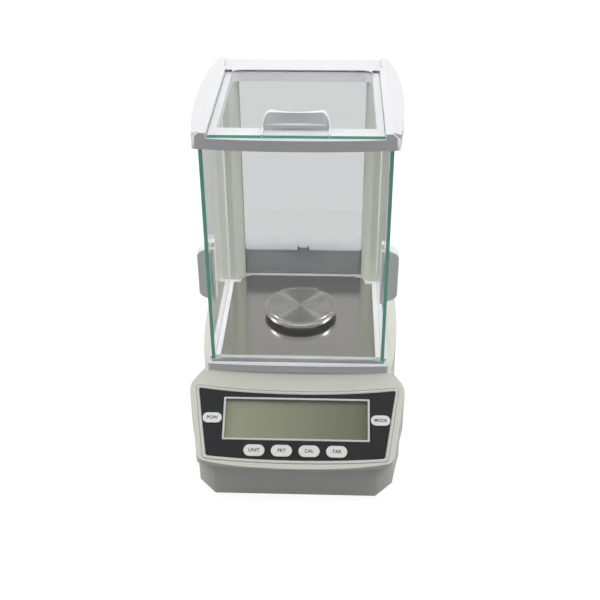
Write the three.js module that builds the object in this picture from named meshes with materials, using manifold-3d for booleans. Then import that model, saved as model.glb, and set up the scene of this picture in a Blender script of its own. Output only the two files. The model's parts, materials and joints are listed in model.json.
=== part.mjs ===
// Analytical balance: wedge-fronted base, weighing cell, glass draft shield with three sliding doors.
// Millimetres, +Z up. Origin: centre of the footprint, on the bench. The display faces -Y.

import * as THREE from 'three';
import { mergeVertices } from 'three/addons/utils/BufferGeometryUtils.js';
import Module from 'manifold-3d';

const wasm = await Module();
wasm.setup();

// ---------------------------------------------------------------- driving dimensions

const gap = 0.3;                  // between pieces that touch
const slide = 0.4;                // between a door and its track

const footHeight = 7;             // bench to the underside of the base
const baseHeight = 98;            // underside of the base to its deck
const shieldBaseHeight = 13;      // deck to the top of the steel floor
const chamberWidth = 175.8;       // between the two side doors
const chamberDepth = 173.9;       // front pane to rear pane
const chamberHeight = 242;        // steel floor to the underside of the top frame
const topFrameHeight = 16.3;
const consoleReach = 86.2;        // how far the display slope runs forward of the shield
const consoleDrop = 59.3;         // how far the slope falls over that run
const rearReach = 47;             // rear pane to the back of the base

const wall = 3;                   // housing shells
const frontGlassThickness = 4.5;
const doorThickness = 3.4;
const rearGlassThickness = 4;
const topGlassThickness = 4;
const shieldLedge = 4.9;          // base frame in front of the front pane
const trayInset = 2.5;            // lower shell stands back under the upper one

const panDiameter = 82;
const panThickness = 5.2;
const panBevel = 4.7;
const panFlightHeight = 6;        // steel floor to the pan's skirt
const panFromFrontGlass = 86.9;   // front pane's back face to the pan's axis
const postRadius = 5;
const postHoleRadius = 11;

const panelBorder = 10.4;         // ivory margin beside the dark panel
const trimWidth = 3.5;
const pocketDepth = 1.6;
const overlayThickness = 1.2;
const lcdWidth = 153;
const lcdLine = 2;                // width of the silver frame's line
const keyProud = 1.3;
const keyTravel = 1;
const lowerKey = { width: 21.7, height: 12.2 };
const sideKey = { width: 20, height: 11 };
const keyPitch = 28.4;

const handleHeight = 62;          // side-door pulls
const handleReach = 11.4;
const handleDepth = 14;
const handleBottom = 60;          // above the steel floor
const topHandleHeight = 17;
const topHandleWidth = 64;
const topHandleDepth = 8.5;
const topHandleSetback = 16.6;     // pane's front edge to the pull

const frontFootRadius = 10;
const screwFootRadius = 13;
const studRadius = 4;
const levelRadius = 5;

// ---------------------------------------------------------------- planes worked out from them

const chamberHalf = chamberWidth / 2;
const doorOuter = chamberHalf + doorThickness;

const zBottom = footHeight;
const zDeck = zBottom + baseHeight;
const zFloor = zDeck + shieldBaseHeight;
const zTopFrame = zFloor + chamberHeight;
const zTop = zTopFrame + topFrameHeight;
const frontLip = 1.7;             // upright edge under the foot of the slope
const zSlopeFoot = zDeck - consoleDrop;
const zSplit = zSlopeFoot - frontLip;

const baseDepth = consoleReach + shieldLedge + frontGlassThickness + chamberDepth + rearReach;
const yFront = -baseDepth / 2;
const yRear = baseDepth / 2;
const yShield = yFront + consoleReach;
const yGlassFront = yShield + shieldLedge;
const yGlassBack = yGlassFront + frontGlassThickness;
const yRearGlass = yGlassBack + chamberDepth;
const yRearGlassBack = yRearGlass + rearGlassThickness;
const yPan = yGlassBack + panFromFrontGlass;

const tilt = Math.atan2(consoleDrop, consoleReach);
const slopeLength = Math.hypot(consoleReach, consoleDrop);

const frontHalf = doorOuter + 9.4;
const flareHalf = doorOuter + 24.1;
const waistHalf = doorOuter + 8.2;
const bodyHalf = doorOuter + 18.7;
const rearHalf = doorOuter + 14.7;
const shieldHalf = doorOuter + 4.7;

// ---------------------------------------------------------------- materials

const paint = (color, roughness, metalness = 0) =>
  () => new THREE.MeshStandardMaterial({ color, roughness, metalness });
const ivory = paint(0xd6d8cc, 0.55);
const lowerGrey = paint(0xa3a49e, 0.6);
const white = paint(0xf2f2f4, 0.45);
const charcoal = paint(0x3c3c3c, 0.45);
const silver = paint(0xd9dbd8, 0.35, 0.4);
const steel = paint(0x9a978f, 0.32, 1);
const aluminium = paint(0xb9bbbd, 0.4, 1);
const boardGreen = paint(0x1f6b45, 0.5);
const lcdGlass = paint(0x8a8e78, 0.2);
const blackPlastic = paint(0x222222, 0.5);
const rubber = paint(0x1d1d1d, 0.85);
const bandGrey = paint(0x8a8b8d, 0.3);
const brass = paint(0xb8924a, 0.35, 1);
const glass = () => new THREE.MeshStandardMaterial({
  color: 0xcfe6dd, roughness: 0.05, transparent: true, opacity: 0.35 });
const liquid = () => new THREE.MeshStandardMaterial({
  color: 0xb7d84a, roughness: 0.1, transparent: true, opacity: 0.6 });

// ---------------------------------------------------------------- solids

function solidOf(geometry) {
  geometry.deleteAttribute('normal');
  geometry.deleteAttribute('uv');
  const welded = mergeVertices(geometry, 1e-4);
  return new wasm.Manifold(new wasm.Mesh({
    numProp: 3,
    vertProperties: new Float32Array(welded.attributes.position.array),
    triVerts: new Uint32Array(welded.index.array),
  }));
}

function geometryOf(solid) {
  const { vertProperties, triVerts } = solid.getMesh();
  const geometry = new THREE.BufferGeometry();
  geometry.setAttribute('position', new THREE.BufferAttribute(vertProperties, 3));
  geometry.setIndex(new THREE.BufferAttribute(triVerts, 1));
  geometry.computeVertexNormals();
  return geometry;
}

function block([x0, x1], [y0, y1], [z0, z1]) {
  const geometry = new THREE.BoxGeometry(x1 - x0, y1 - y0, z1 - z0);
  return solidOf(geometry.translate((x0 + x1) / 2, (y0 + y1) / 2, (z0 + z1) / 2));
}

function disc(radius, [z0, z1], x = 0, y = 0, sides = 24) {
  const geometry = new THREE.CylinderGeometry(radius, radius, z1 - z0, sides);
  return solidOf(geometry.rotateX(Math.PI / 2).translate(x, y, (z0 + z1) / 2));
}

function slab(shape, [z0, z1]) {
  const options = { depth: z1 - z0, bevelEnabled: false, curveSegments: 3 };
  return solidOf(new THREE.ExtrudeGeometry(shape, options).translate(0, 0, z0));
}

// A turned piece: profile points are [radius, height], from the axis round the outside to the axis.
function turned(profile, x = 0, y = 0, sides = 32) {
  const points = profile.map(([radius, height]) => new THREE.Vector2(radius, height));
  return solidOf(new THREE.LatheGeometry(points, sides).rotateX(Math.PI / 2).translate(x, y, 0));
}

// A bar along Y whose cross-section is given in X and Z.
function barAlongY(corners, [y0, y1]) {
  const shape = new THREE.Shape(corners.map(([x, z]) => new THREE.Vector2(x, z)));
  const geometry = new THREE.ExtrudeGeometry(shape, { depth: y1 - y0, bevelEnabled: false });
  return solidOf(geometry.rotateX(Math.PI / 2).translate(0, y1, 0));
}

// A closed outline from its right half, which runs from the Y axis round to the Y axis.
function mirroredShape(rightHalf, divisions = 6) {
  const right = rightHalf.getPoints(divisions);
  const left = right.slice(1, -1).reverse().map((point) => new THREE.Vector2(-point.x, point.y));
  return new THREE.Shape([...right, ...left]);
}

function roundedRectangle([x0, x1], [y0, y1], radius) {
  const shape = new THREE.Shape();
  shape.moveTo(x0 + radius, y0);
  shape.lineTo(x1 - radius, y0).absarc(x1 - radius, y0 + radius, radius, -Math.PI / 2, 0);
  shape.lineTo(x1, y1 - radius).absarc(x1 - radius, y1 - radius, radius, 0, Math.PI / 2);
  shape.lineTo(x0 + radius, y1).absarc(x0 + radius, y1 - radius, radius, Math.PI / 2, Math.PI);
  shape.lineTo(x0, y0 + radius).absarc(x0 + radius, y0 + radius, radius, Math.PI, 1.5 * Math.PI);
  return shape;
}

const join = (...solids) => solids.reduce((sum, solid) => sum.add(solid));
const cut = (body, ...tools) => tools.reduce((rest, tool) => rest.subtract(tool), body);
const mirrored = (solid) => solid.mirror([1, 0, 0]);
const bothSides = (solid) => solid.add(mirrored(solid));

// ---------------------------------------------------------------- assembly helpers

const balance = new THREE.Group();
const slope = new THREE.Group();
slope.position.set(0, yFront, zSlopeFoot);
slope.rotation.x = tilt;
slope.updateMatrix();
balance.add(slope);

function place(name, material, solid, parent = balance) {
  const mesh = new THREE.Mesh(geometryOf(solid), material());
  mesh.name = name;
  parent.add(mesh);
}

function placePair(name, material, rightSolid) {
  place(`${name}_right`, material, rightSolid);
  place(`${name}_left`, material, mirrored(rightSolid));
}

// Takes a solid from the slope's own axes (X, up the slope, out of it) to the part's.
const fromSlope = (solid) => solid.transform(slope.matrix.elements);

// ---------------------------------------------------------------- base: outlines and fixings

// Sides and back of the base in plan: flared console, waist, barrel-sided body, rounded back.
function closeOutline(path, inset) {
  const half = (value) => value - inset;
  const rear = yRear - inset;
  const flareY = yShield - 15;
  path.lineTo(half(flareHalf) - 1.4, flareY - 6);
  path.quadraticCurveTo(half(flareHalf), flareY + 2, half(flareHalf) - 5, flareY + 7);
  path.lineTo(half(waistHalf) + 3, flareY + 14);
  path.quadraticCurveTo(half(waistHalf), flareY + 17, half(waistHalf), flareY + 22);
  path.bezierCurveTo(half(waistHalf) + 3, yShield + 25, half(bodyHalf), yShield + 63,
    half(bodyHalf), yRearGlass - 66);
  path.quadraticCurveTo(half(bodyHalf), yRearGlass - 11, half(rearHalf), rear - 16);
  path.quadraticCurveTo(half(rearHalf) - 1, rear, half(rearHalf) - 16, rear);
  path.lineTo(0, rear);
  return mirroredShape(path);
}

// Plan outline of the upper shell, with a bowed front.
function baseOutline(inset, cornerCut) {
  const half = frontHalf - inset;
  const front = yFront + inset;
  const bow = 5.5;
  const path = new THREE.Path();
  path.moveTo(0, front);
  path.quadraticCurveTo(half * 0.6, front, half - cornerCut, front + bow);
  path.quadraticCurveTo(half, front + bow + 1, half + 0.23 * cornerCut, front + bow + cornerCut);
  return closeOutline(path, inset);
}

// Plan outline of the lower shell, with a straight front and cut corners.
function trayOutline(inset) {
  const front = yFront + inset + 0.7;
  const path = new THREE.Path();
  path.moveTo(0, front);
  path.lineTo(frontHalf - 16.2 - inset * 0.4, front);
  path.lineTo(frontHalf + 3.6 - inset, front + 20.5);
  return closeOutline(path, inset);
}

const bossRadius = 4.5;
const screwRadius = 1.5;
const screwHeadRadius = 3;
const screwX = bodyHalf - 20;
const frontScrewX = flareHalf - 10.4;
const housingScrews = [
  [-frontScrewX, yShield - 14], [frontScrewX, yShield - 14],
  [-screwX, yRear - 18], [screwX, yRear - 18],
];
const frontFoot = { x: frontHalf - 30, y: yFront + 34 };
const rearFoot = { x: bodyHalf - 42, y: yRear - 22 };

// ---------------------------------------------------------------- lower housing

const trayTop = zSplit - gap;
const trayFloor = zBottom + wall;
const footBossTop = trayFloor + 18;

function lowerHousing() {
  const shell = cut(
    slab(trayOutline(trayInset), [zBottom, trayTop]),
    slab(trayOutline(trayInset + wall), [trayFloor, trayTop + 1]),
  );
  const bosses = housingScrews.map(([x, y]) => disc(bossRadius, [trayFloor - 1, trayTop], x, y, 16));
  const footBoss = disc(studRadius + 4, [trayFloor - 1, footBossTop], rearFoot.x, rearFoot.y, 20);
  const screwHoles = housingScrews.flatMap(([x, y]) => [
    disc(screwRadius + gap, [zBottom - 1, trayTop + 1], x, y, 12),
    disc(screwHeadRadius + gap, [zBottom - 1, zBottom + 2], x, y, 16),
  ]);
  return cut(
    join(shell, ...bosses, bothSides(footBoss)),
    ...screwHoles,
    bothSides(disc(studRadius + slide, [zBottom - 1, footBossTop + 1], rearFoot.x, rearFoot.y, 20)),
    bothSides(disc(3 + gap, [zBottom - 1, trayFloor + 1], frontFoot.x, frontFoot.y, 16)),
  );
}
place('lower_housing', lowerGrey, lowerHousing());

// ---------------------------------------------------------------- display panel on the slope

const panelBottom = 12.7;         // corners, measured up the slope from its foot
const panelTop = slopeLength - 19.6;
const panelBottomSag = 3.8;
const panelTopSag = 5.8;
const panelHalfTop = flareHalf - panelBorder;
const panelHalfBottom = frontHalf - panelBorder + 1.7;

function panelOutline(grow) {
  const low = panelBottom - grow;
  const high = panelTop + grow;
  const radius = 2.5 + grow / 2;
  const halfLow = panelHalfBottom + grow;
  const halfHigh = panelHalfTop + grow;
  const lean = (halfHigh - halfLow) / (high - low);
  const path = new THREE.Path();
  path.moveTo(0, low - panelBottomSag);
  path.quadraticCurveTo(halfLow * 0.55, low - panelBottomSag, halfLow - radius, low - 0.2);
  path.quadraticCurveTo(halfLow, low, halfLow + lean * radius, low + radius);
  path.lineTo(halfHigh - lean * radius, high - radius);
  path.quadraticCurveTo(halfHigh, high, halfHigh - radius, high - 0.2);
  path.quadraticCurveTo(halfHigh * 0.55, high - panelTopSag, 0, high - panelTopSag);
  return mirroredShape(path, 5);
}

const keyRow = panelBottom - panelBottomSag + 3.6 + lowerKey.height / 2;
const lcdLow = keyRow + lowerKey.height / 2 + 4.8;
const lcdHigh = panelTop - panelTopSag - 3.7;
const lcdMiddle = (lcdLow + lcdHigh) / 2;
const panelHalfAt = (s) =>
  panelHalfBottom + (panelHalfTop - panelHalfBottom) * (s - panelBottom) / (panelTop - panelBottom);
const sideKeyX = (lcdWidth / 2 + panelHalfAt(lcdMiddle)) / 2;

const keys = [
  { name: 'power', x: -sideKeyX, s: lcdMiddle, ...sideKey },
  { name: 'mode', x: sideKeyX, s: lcdMiddle, ...sideKey },
  ...['unit', 'print', 'calibrate', 'tare'].map((name, i) =>
    ({ name, x: (i - 1.5) * keyPitch, s: keyRow, ...lowerKey })),
];

const keyOutline = (key, grow) => roundedRectangle(
  [key.x - key.width / 2 - grow, key.x + key.width / 2 + grow],
  [key.s - key.height / 2 - grow, key.s + key.height / 2 + grow],
  key.height / 2 + grow - 0.01,
);
const lcdOutline = (grow, radius) => roundedRectangle(
  [-lcdWidth / 2 - grow, lcdWidth / 2 + grow], [lcdLow - grow, lcdHigh + grow], radius);

const panelSeat = -pocketDepth + gap;
const overlayTop = panelSeat + overlayThickness;
const housingInside = -wall;
const windowThickness = 1.5;
const moduleTop = housingInside - gap;
const moduleThickness = 7;
const boardTop = moduleTop - moduleThickness - 3;
const boardThickness = 1.6;
const switchHeight = 2.2;

const panelPocket = slab(panelOutline(trimWidth + gap), [-pocketDepth, 5]);
const keyHoles = keys.map((key) => slab(keyOutline(key, gap), [-wall - 5, 5]));

place('panel_trim', silver, cut(
  slab(panelOutline(trimWidth), [panelSeat, 0.4]),
  slab(panelOutline(gap), [panelSeat - 1, 2]),
), slope);
place('display_panel', charcoal, cut(
  slab(panelOutline(0), [panelSeat, overlayTop]),
  slab(lcdOutline(gap, 1.5), [panelSeat - 1, 2]),
  ...keyHoles,
), slope);
place('lcd_frame', silver, cut(
  slab(lcdOutline(0, 1), [panelSeat, 0.6]),
  slab(lcdOutline(-lcdLine, 0.5), [panelSeat - 1, 2]),
), slope);
place('lcd_window', glass,
  slab(lcdOutline(-lcdLine - gap, 0.5), [panelSeat, panelSeat + windowThickness - gap]), slope);
place('lcd_module', lcdGlass, block(
  [-lcdWidth / 2 + 1, lcdWidth / 2 - 1], [lcdLow + 1, lcdHigh - 1],
  [moduleTop - moduleThickness, moduleTop]), slope);

function keyBoard() {
  const outline = new THREE.Path();
  outline.moveTo(0, keyRow - 3.2);
  outline.lineTo(1.5 * keyPitch + lowerKey.width / 2, keyRow - 3.2);
  outline.lineTo(sideKeyX + 9, lcdMiddle - 10);
  outline.lineTo(sideKeyX + 9, lcdHigh);
  outline.lineTo(0, lcdHigh);
  const board = slab(mirroredShape(outline, 1), [boardTop - boardThickness, boardTop]);
  const switches = keys.map((key) =>
    block([key.x - 3, key.x + 3], [key.s - 3, key.s + 3], [boardTop - 0.5, boardTop + switchHeight]));
  return join(board, ...switches);
}
place('key_board', boardGreen, keyBoard(), slope);

const flangeTop = housingInside - gap;
for (const key of keys) {
  const cap = slab(keyOutline(key, 0), [flangeTop - 1, overlayTop + keyProud]);
  const flange = slab(keyOutline(key, 0.8), [flangeTop - 1.2, flangeTop]);
  const stem = disc(1.6, [boardTop + switchHeight + keyTravel + gap, flangeTop - 1], key.x, key.s, 12);
  place(`key_${key.name}`, silver, join(cap, flange, stem), slope);
}

// ---------------------------------------------------------------- upper housing

const shieldScrewX = chamberHalf - 26;
const shieldScrews = [yGlassBack + 24, yRearGlass - 34].flatMap((y) =>
  [[-shieldScrewX, y], [shieldScrewX, y]]);
const socket = { x: 42, z: zSplit + 26, radius: 5.2 };
const serial = { x: 0, z: zSplit + 26, width: 31, height: 12.5 };

function upperHousing() {
  const wide = flareHalf + 20;
  const overSlope = fromSlope(block([-wide, wide], [-60, slopeLength + 60], [0, 90]));
  const overInnerSlope = fromSlope(block([-wide, wide], [-60, slopeLength + 60], [-wall, 90]));
  const outer = cut(slab(baseOutline(0, 8), [zSplit, zDeck]), overSlope);
  const hollow = cut(slab(baseOutline(wall, 7), [zSplit - 1, zDeck - wall]), overInnerSlope);
  const pillars = housingScrews.map(([x, y]) => disc(bossRadius, [zSplit, zDeck], x, y, 16));
  const pillarHoles = housingScrews.map(([x, y]) =>
    disc(screwRadius + gap, [zSplit - 1, zSplit + 9], x, y, 12));
  const pillarsInside = join(...pillars).intersect(outer);
  return cut(
    join(cut(outer, hollow), pillarsInside),
    ...pillarHoles,
    fromSlope(panelPocket),
    fromSlope(slab(lcdOutline(-lcdLine - 1.5, 0.5), [-wall - 5, 5])),
    ...keyHoles.map(fromSlope),
    disc(postHoleRadius, [zDeck - wall - 1, zDeck + 1], 0, yPan),
    ...shieldScrews.map(([x, y]) => disc(screwRadius + gap, [zDeck - wall - 1, zDeck + 1], x, y, 12)),
    block([socket.x - 7, socket.x + 7], [yRear - wall - 1, yRear + 1], [socket.z - 7, socket.z + 7]),
    block([-serial.width / 2 - gap, serial.width / 2 + gap], [yRear - wall - 1, yRear + 1],
      [serial.z - serial.height / 2 - gap, serial.z + serial.height / 2 + gap]),
  );
}
place('upper_housing', ivory, upperHousing());

housingScrews.forEach(([x, y], index) => {
  const shank = disc(screwRadius, [zBottom + 1, zSplit + 8.5], x, y, 12);
  const head = disc(screwHeadRadius, [zBottom + 0.1, zBottom + 2 - gap], x, y, 16);
  place(`housing_screw_${index + 1}`, steel, join(shank, head));
});

// ---------------------------------------------------------------- feet

function frontRubberFoot() {
  return turned([
    [0, 0], [frontFootRadius - 1, 0], [frontFootRadius, 1.5], [frontFootRadius - 1, zBottom - gap],
    [3, zBottom - gap], [3, trayFloor + 2.5], [0, trayFloor + 2.5],
  ], frontFoot.x, frontFoot.y, 24);
}
placePair('front_foot', rubber, frontRubberFoot());

const padHeight = 2.7;
const wheelTop = zBottom - 1;
placePair('levelling_pad', rubber, turned([
  [0, 0], [screwFootRadius - 3, 0], [screwFootRadius - 2.5, 0.8], [screwFootRadius - 3, padHeight],
  [0, padHeight],
], rearFoot.x, rearFoot.y, 24));
placePair('levelling_screw', blackPlastic, turned([
  [0, padHeight + gap], [screwFootRadius - 1, padHeight + gap], [screwFootRadius, padHeight + 1],
  [screwFootRadius, wheelTop - 0.7], [screwFootRadius - 1, wheelTop], [studRadius, wheelTop],
  [studRadius, footBossTop - 2], [0, footBossTop - 2],
], rearFoot.x, rearFoot.y, 24));

// ---------------------------------------------------------------- shield base, steel floor and pan

const ledgeTop = zFloor - 4;      // outer ledge of the shield base, also the floor of the door tracks
const trackWallTop = zFloor - 1;
const grooveInner = chamberHalf - slide;
const grooveOuter = doorOuter + slide;
const floorThickness = 1.2;
const floorSeat = zFloor - floorThickness - gap;
const shieldScrewSeat = floorSeat - 2.6;
const sillSlope = 40;             // degrees from upright, in front of the steel floor
const floorHalf = chamberHalf - 5.6;
const floorFront = yGlassBack + 3.7;
const floorRear = yRearGlass - 5;
const columnDepth = 16;
const columnFront = yRearGlass - columnDepth;
const yShieldRear = yRear - 5;

// Steel floor, notched round the rear columns.
function floorOutline(grow) {
  const notch = columnFront - 5 + grow;
  const path = new THREE.Path();
  path.moveTo(0, floorFront - grow);
  path.lineTo(floorHalf + grow, floorFront - grow);
  path.lineTo(floorHalf + grow, notch);
  path.lineTo(floorHalf - 8 + grow, notch);
  path.quadraticCurveTo(floorHalf - 8 + grow, floorRear - 3 + grow,
    floorHalf - 16 + grow, floorRear - 2 + grow);
  path.lineTo(floorHalf - 19 + grow, floorRear - 2 + grow);
  path.lineTo(floorHalf - 19 + grow, floorRear + grow);
  path.lineTo(0, floorRear + grow);
  return mirroredShape(path, 4);
}

function shieldBase() {
  const bow = 2.5;
  const path = new THREE.Path();
  path.moveTo(0, yShield - bow + gap);
  path.quadraticCurveTo(shieldHalf * 0.6, yShield - bow + gap, shieldHalf - 3, yShield + gap);
  path.quadraticCurveTo(shieldHalf, yShield + gap, shieldHalf, yShield + 3.5);
  path.lineTo(shieldHalf, yShieldRear - 3);
  path.quadraticCurveTo(shieldHalf, yShieldRear, shieldHalf - 3, yShieldRear);
  path.lineTo(0, yShieldRear);
  const lower = slab(mirroredShape(path, 5), [zDeck + gap, ledgeTop]);
  const raised = cut(
    block([-grooveInner, grooveInner], [yGlassBack + gap, yRearGlassBack + 2], [ledgeTop - 1, zFloor]),
    block([-chamberHalf, chamberHalf], [-4, 0], [0, 9]).rotate([-sillSlope, 0, 0])
      .translate([0, yGlassBack + gap, ledgeTop + 0.2]));
  const outerWall = block([grooveOuter, grooveOuter + 1.8], [yGlassBack + gap, yShieldRear],
    [ledgeTop - 1, trackWallTop]);
  const innerWall = block([grooveInner - 2.5, grooveInner], [yRearGlassBack, yShieldRear],
    [ledgeTop - 1, trackWallTop]);
  return cut(
    join(lower, raised, bothSides(outerWall), bothSides(innerWall)),
    slab(floorOutline(gap), [floorSeat, zFloor + 1]),
    block([-doorOuter - gap, doorOuter + gap], [yGlassFront - gap, yGlassBack + gap],
      [ledgeTop - 1.2, ledgeTop + 6]),
    disc(postHoleRadius, [zDeck - 1, zFloor + 1], 0, yPan),
    ...shieldScrews.flatMap(([x, y]) => [
      disc(screwRadius + gap, [zDeck - 1, zFloor], x, y, 12),
      disc(screwHeadRadius + gap, [shieldScrewSeat, zFloor], x, y, 16),
    ]),
    cut(block([-floorHalf, floorHalf], [floorFront + 8, floorRear - 8], [zDeck - 1, ledgeTop - 3]),
      disc(postHoleRadius + 3, [zDeck - 2, zFloor], 0, yPan),
      ...shieldScrews.map(([x, y]) => disc(bossRadius, [zDeck - 2, zFloor], x, y, 16))),
  );
}
place('shield_base', white, shieldBase());

shieldScrews.forEach(([x, y], index) => {
  const shank = disc(screwRadius, [zDeck - wall - 4, shieldScrewSeat + 1], x, y, 12);
  const head = disc(screwHeadRadius, [shieldScrewSeat + gap, floorSeat - gap], x, y, 16);
  place(`shield_screw_${index + 1}`, steel, join(shank, head));
});

place('floor_plate', steel, cut(
  slab(floorOutline(0), [zFloor - floorThickness, zFloor]),
  disc(postHoleRadius - 2, [zFloor - 3, zFloor + 1], 0, yPan),
));

const panRadius = panDiameter / 2;
const panBottom = zFloor + panFlightHeight;
const panTop = panBottom + panThickness;
const cupDepth = panThickness - 1.8;
const carrierRadius = panRadius * 0.55;

place('weighing_pan', steel, turned([
  [0, panBottom + cupDepth], [panRadius - 3, panBottom + cupDepth], [panRadius - 2, panBottom],
  [panRadius - 0.5, panBottom], [panRadius, panBottom + 0.8], [panRadius, panTop - 1.4],
  [panRadius - 0.7, panTop - 0.6], [panRadius - panBevel, panTop], [0, panTop],
], 0, yPan, 48));

const carrierTop = panBottom + cupDepth - gap;
const carrierBottom = carrierTop - 5.5;
place('pan_carrier', aluminium, turned([
  [0, carrierBottom + 2], [postRadius - 1.5, carrierBottom + 2], [postRadius - 1.5, carrierBottom - 2.4],
  [postRadius + 1.5, carrierBottom - 2.4], [postRadius + 2.5, carrierBottom],
  [carrierRadius, carrierTop - 1.6], [carrierRadius, carrierTop], [0, carrierTop],
], 0, yPan, 32));

// ---------------------------------------------------------------- weighing cell

const cellWidth = 46;
const cellHeight = 38;
const cellBaseTop = trayFloor + 12;
const cellBottom = cellBaseTop + gap;
const cellTop = cellBottom + cellHeight;
const freeEnd = [yPan - 16, yPan + 14];
const fixedEnd = [yPan + 50, yPan + 74];
const magnetRadius = 18;
const magnetY = fixedEnd[1] + magnetRadius + 2;

function cellBase() {
  const length = [freeEnd[0] - 4, magnetY + magnetRadius + 2];
  const plate = block([-34, 34], length, [cellBaseTop - 6, cellBaseTop]);
  const legs = [freeEnd[0] + 6, magnetY + 4].flatMap((y) =>
    [-26, 26].map((x) => disc(4, [trayFloor + gap, cellBaseTop - 5], x, y, 12)));
  return join(plate, ...legs);
}
place('cell_base', aluminium, cellBase());

// Parallel-guide block: the free end hangs from the fixed end by two thin-waisted beams.
function cellBlock() {
  const half = cellWidth / 2;
  const body = block([-half, half], [freeEnd[0], fixedEnd[1]], [cellBottom, cellTop]);
  const window = block([-half - 1, half + 1], [freeEnd[1], fixedEnd[0]], [cellBottom + 5, cellTop - 5]);
  const waist = (y, z) => block([-half - 1, half + 1], [y, y + 4], [z, z + 2.2]);
  const waists = [freeEnd[1] + 2, fixedEnd[0] - 6].flatMap((y) =>
    [waist(y, cellBottom - 0.1), waist(y, cellTop - 2.1)]);
  const undercut = block([-half - 1, half + 1], [freeEnd[0] - 1, freeEnd[1] + 1],
    [cellBottom - 1, cellBottom + 1]);
  return cut(body, window, undercut, ...waists);
}
place('cell_block', aluminium, cellBlock());

place('cell_magnet', steel, disc(magnetRadius, [cellBaseTop + gap, cellTop - 6], 0, magnetY));

place('pan_post', steel, join(
  disc(postRadius, [cellTop + gap, carrierBottom - 3], 0, yPan),
  disc(postRadius - 1.8, [carrierBottom - 4, carrierBottom + 1.6], 0, yPan),
  disc(postRadius + 3.5, [cellTop + gap, cellTop + 4], 0, yPan),
));

// ---------------------------------------------------------------- boards, sockets and leads

const mainBoardZ = trayFloor + 6;
const mainBoard = { half: 62, front: yFront + 44, rear: yFront + 108 };

function controlBoard() {
  const board = block([-mainBoard.half, mainBoard.half], [mainBoard.front, mainBoard.rear],
    [mainBoardZ, mainBoardZ + boardThickness]);
  const top = mainBoardZ + boardThickness;
  const processor = block([-9, 9], [mainBoard.front + 20, mainBoard.front + 38], [top - 1, top + 2]);
  const regulator = block([38, 50], [mainBoard.rear - 20, mainBoard.rear - 8], [top - 1, top + 9]);
  const header = block([-52, -24], [mainBoard.front + 6, mainBoard.front + 12], [top - 1, top + 6]);
  const capacitor = disc(5, [top - 1, top + 11], 26, mainBoard.rear - 14, 16);
  const legs = [-mainBoard.half + 6, mainBoard.half - 6].flatMap((x) =>
    [mainBoard.front + 6, mainBoard.rear - 6].map((y) =>
      disc(3, [trayFloor + gap, mainBoardZ + 0.5], x, y, 12)));
  return join(board, processor, regulator, header, capacitor, ...legs);
}
place('main_board', boardGreen, controlBoard());

// Flat cable from the control board's header up to the key board.
function displayRibbon() {
  const x = [-50, -26];
  const y = mainBoard.front + 9;
  const z0 = mainBoardZ + boardThickness + 6 + gap;
  const underBoard = new THREE.Vector3(0, y - yFront, 0).length() * Math.tan(tilt);
  const z1 = zSlopeFoot + underBoard + (boardTop - boardThickness) / Math.cos(tilt) - 1.2;
  return block(x, [y - 0.4, y + 0.4], [z0, z1]);
}
place('display_ribbon', silver, displayRibbon());

function powerSocket() {
  const body = block([socket.x - 6.7, socket.x + 6.7], [yRear - 14, yRear - 0.6],
    [socket.z - 6.7, socket.z + 6.7]);
  const bore = disc(socket.radius - 1.9, [0, 10], 0, 0, 12)
    .rotate([90, 0, 0]).translate([socket.x, yRear, socket.z]);
  const pin = disc(1, [0, 9.5], 0, 0, 8).rotate([90, 0, 0]).translate([socket.x, yRear - 1.5, socket.z]);
  return join(cut(body, bore), pin);
}
place('power_socket', blackPlastic, powerSocket());

function serialSocket() {
  const half = serial.width / 2;
  const flange = block([-half, half], [yRear - 4, yRear - 0.8], [serial.z - 6.2, serial.z + 6.2]);
  const shroudShape = [[-8.3, -3.9], [8.3, -3.9], [9, 4.1], [-9, 4.1]].map(([x, z]) => [x, z + serial.z]);
  const shroud = barAlongY(shroudShape, [yRear - 12, yRear - 0.1]);
  return join(flange, shroud);
}
place('serial_port', steel, serialSocket());

// Power lead, along the right-hand side of the base from its socket to the control board.
function powerLead() {
  const route = new THREE.CatmullRomCurve3([
    new THREE.Vector3(socket.x, yRear - 14.6, socket.z),
    new THREE.Vector3(socket.x, yRear - 19, socket.z),
    new THREE.Vector3(socket.x + 10, yRear - 28, socket.z - 14),
    new THREE.Vector3(screwX - 12, yPan + 40, trayFloor + 12),
    new THREE.Vector3(screwX - 12, yPan - 20, trayFloor + 12),
    new THREE.Vector3(mainBoard.half - 18, mainBoard.rear + 12, mainBoardZ + 16),
    new THREE.Vector3(mainBoard.half - 18, mainBoard.rear - 14, mainBoardZ + 16),
  ]);
  const section = new THREE.Shape().absarc(0, 0, 1.6, 0, 2 * Math.PI);
  return solidOf(new THREE.ExtrudeGeometry(section, { extrudePath: route, steps: 36, curveSegments: 4 }));
}
place('power_lead', blackPlastic, powerLead());

// ---------------------------------------------------------------- rear columns, pane and cover

const columnBack = yRearGlassBack + 4.5;
const columnTop = zTopFrame - gap;
const columnOuter = grooveInner;
const columnInner = columnOuter - 18;
const glassPocket = 3;            // how far the rear pane reaches into each column

function column() {
  const shape = new THREE.Shape();
  shape.moveTo(columnOuter, columnFront);
  shape.lineTo(columnOuter, columnBack);
  shape.lineTo(columnInner, columnBack);
  shape.lineTo(columnInner, yRearGlass);
  shape.quadraticCurveTo(columnInner + 2, columnFront + 7, columnOuter - 8, columnFront);
  const pocket = block([columnInner - 1, columnInner + glassPocket + gap],
    [yRearGlass - gap, yRearGlassBack + gap], [zFloor, zTop]);
  return cut(slab(shape, [zFloor + gap, columnTop]), pocket);
}
placePair('rear_column', ivory, column());

place('rear_glass', glass, block(
  [-columnInner - glassPocket, columnInner + glassPocket], [yRearGlass, yRearGlassBack],
  [zFloor + gap, zTopFrame + 3]));

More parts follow.
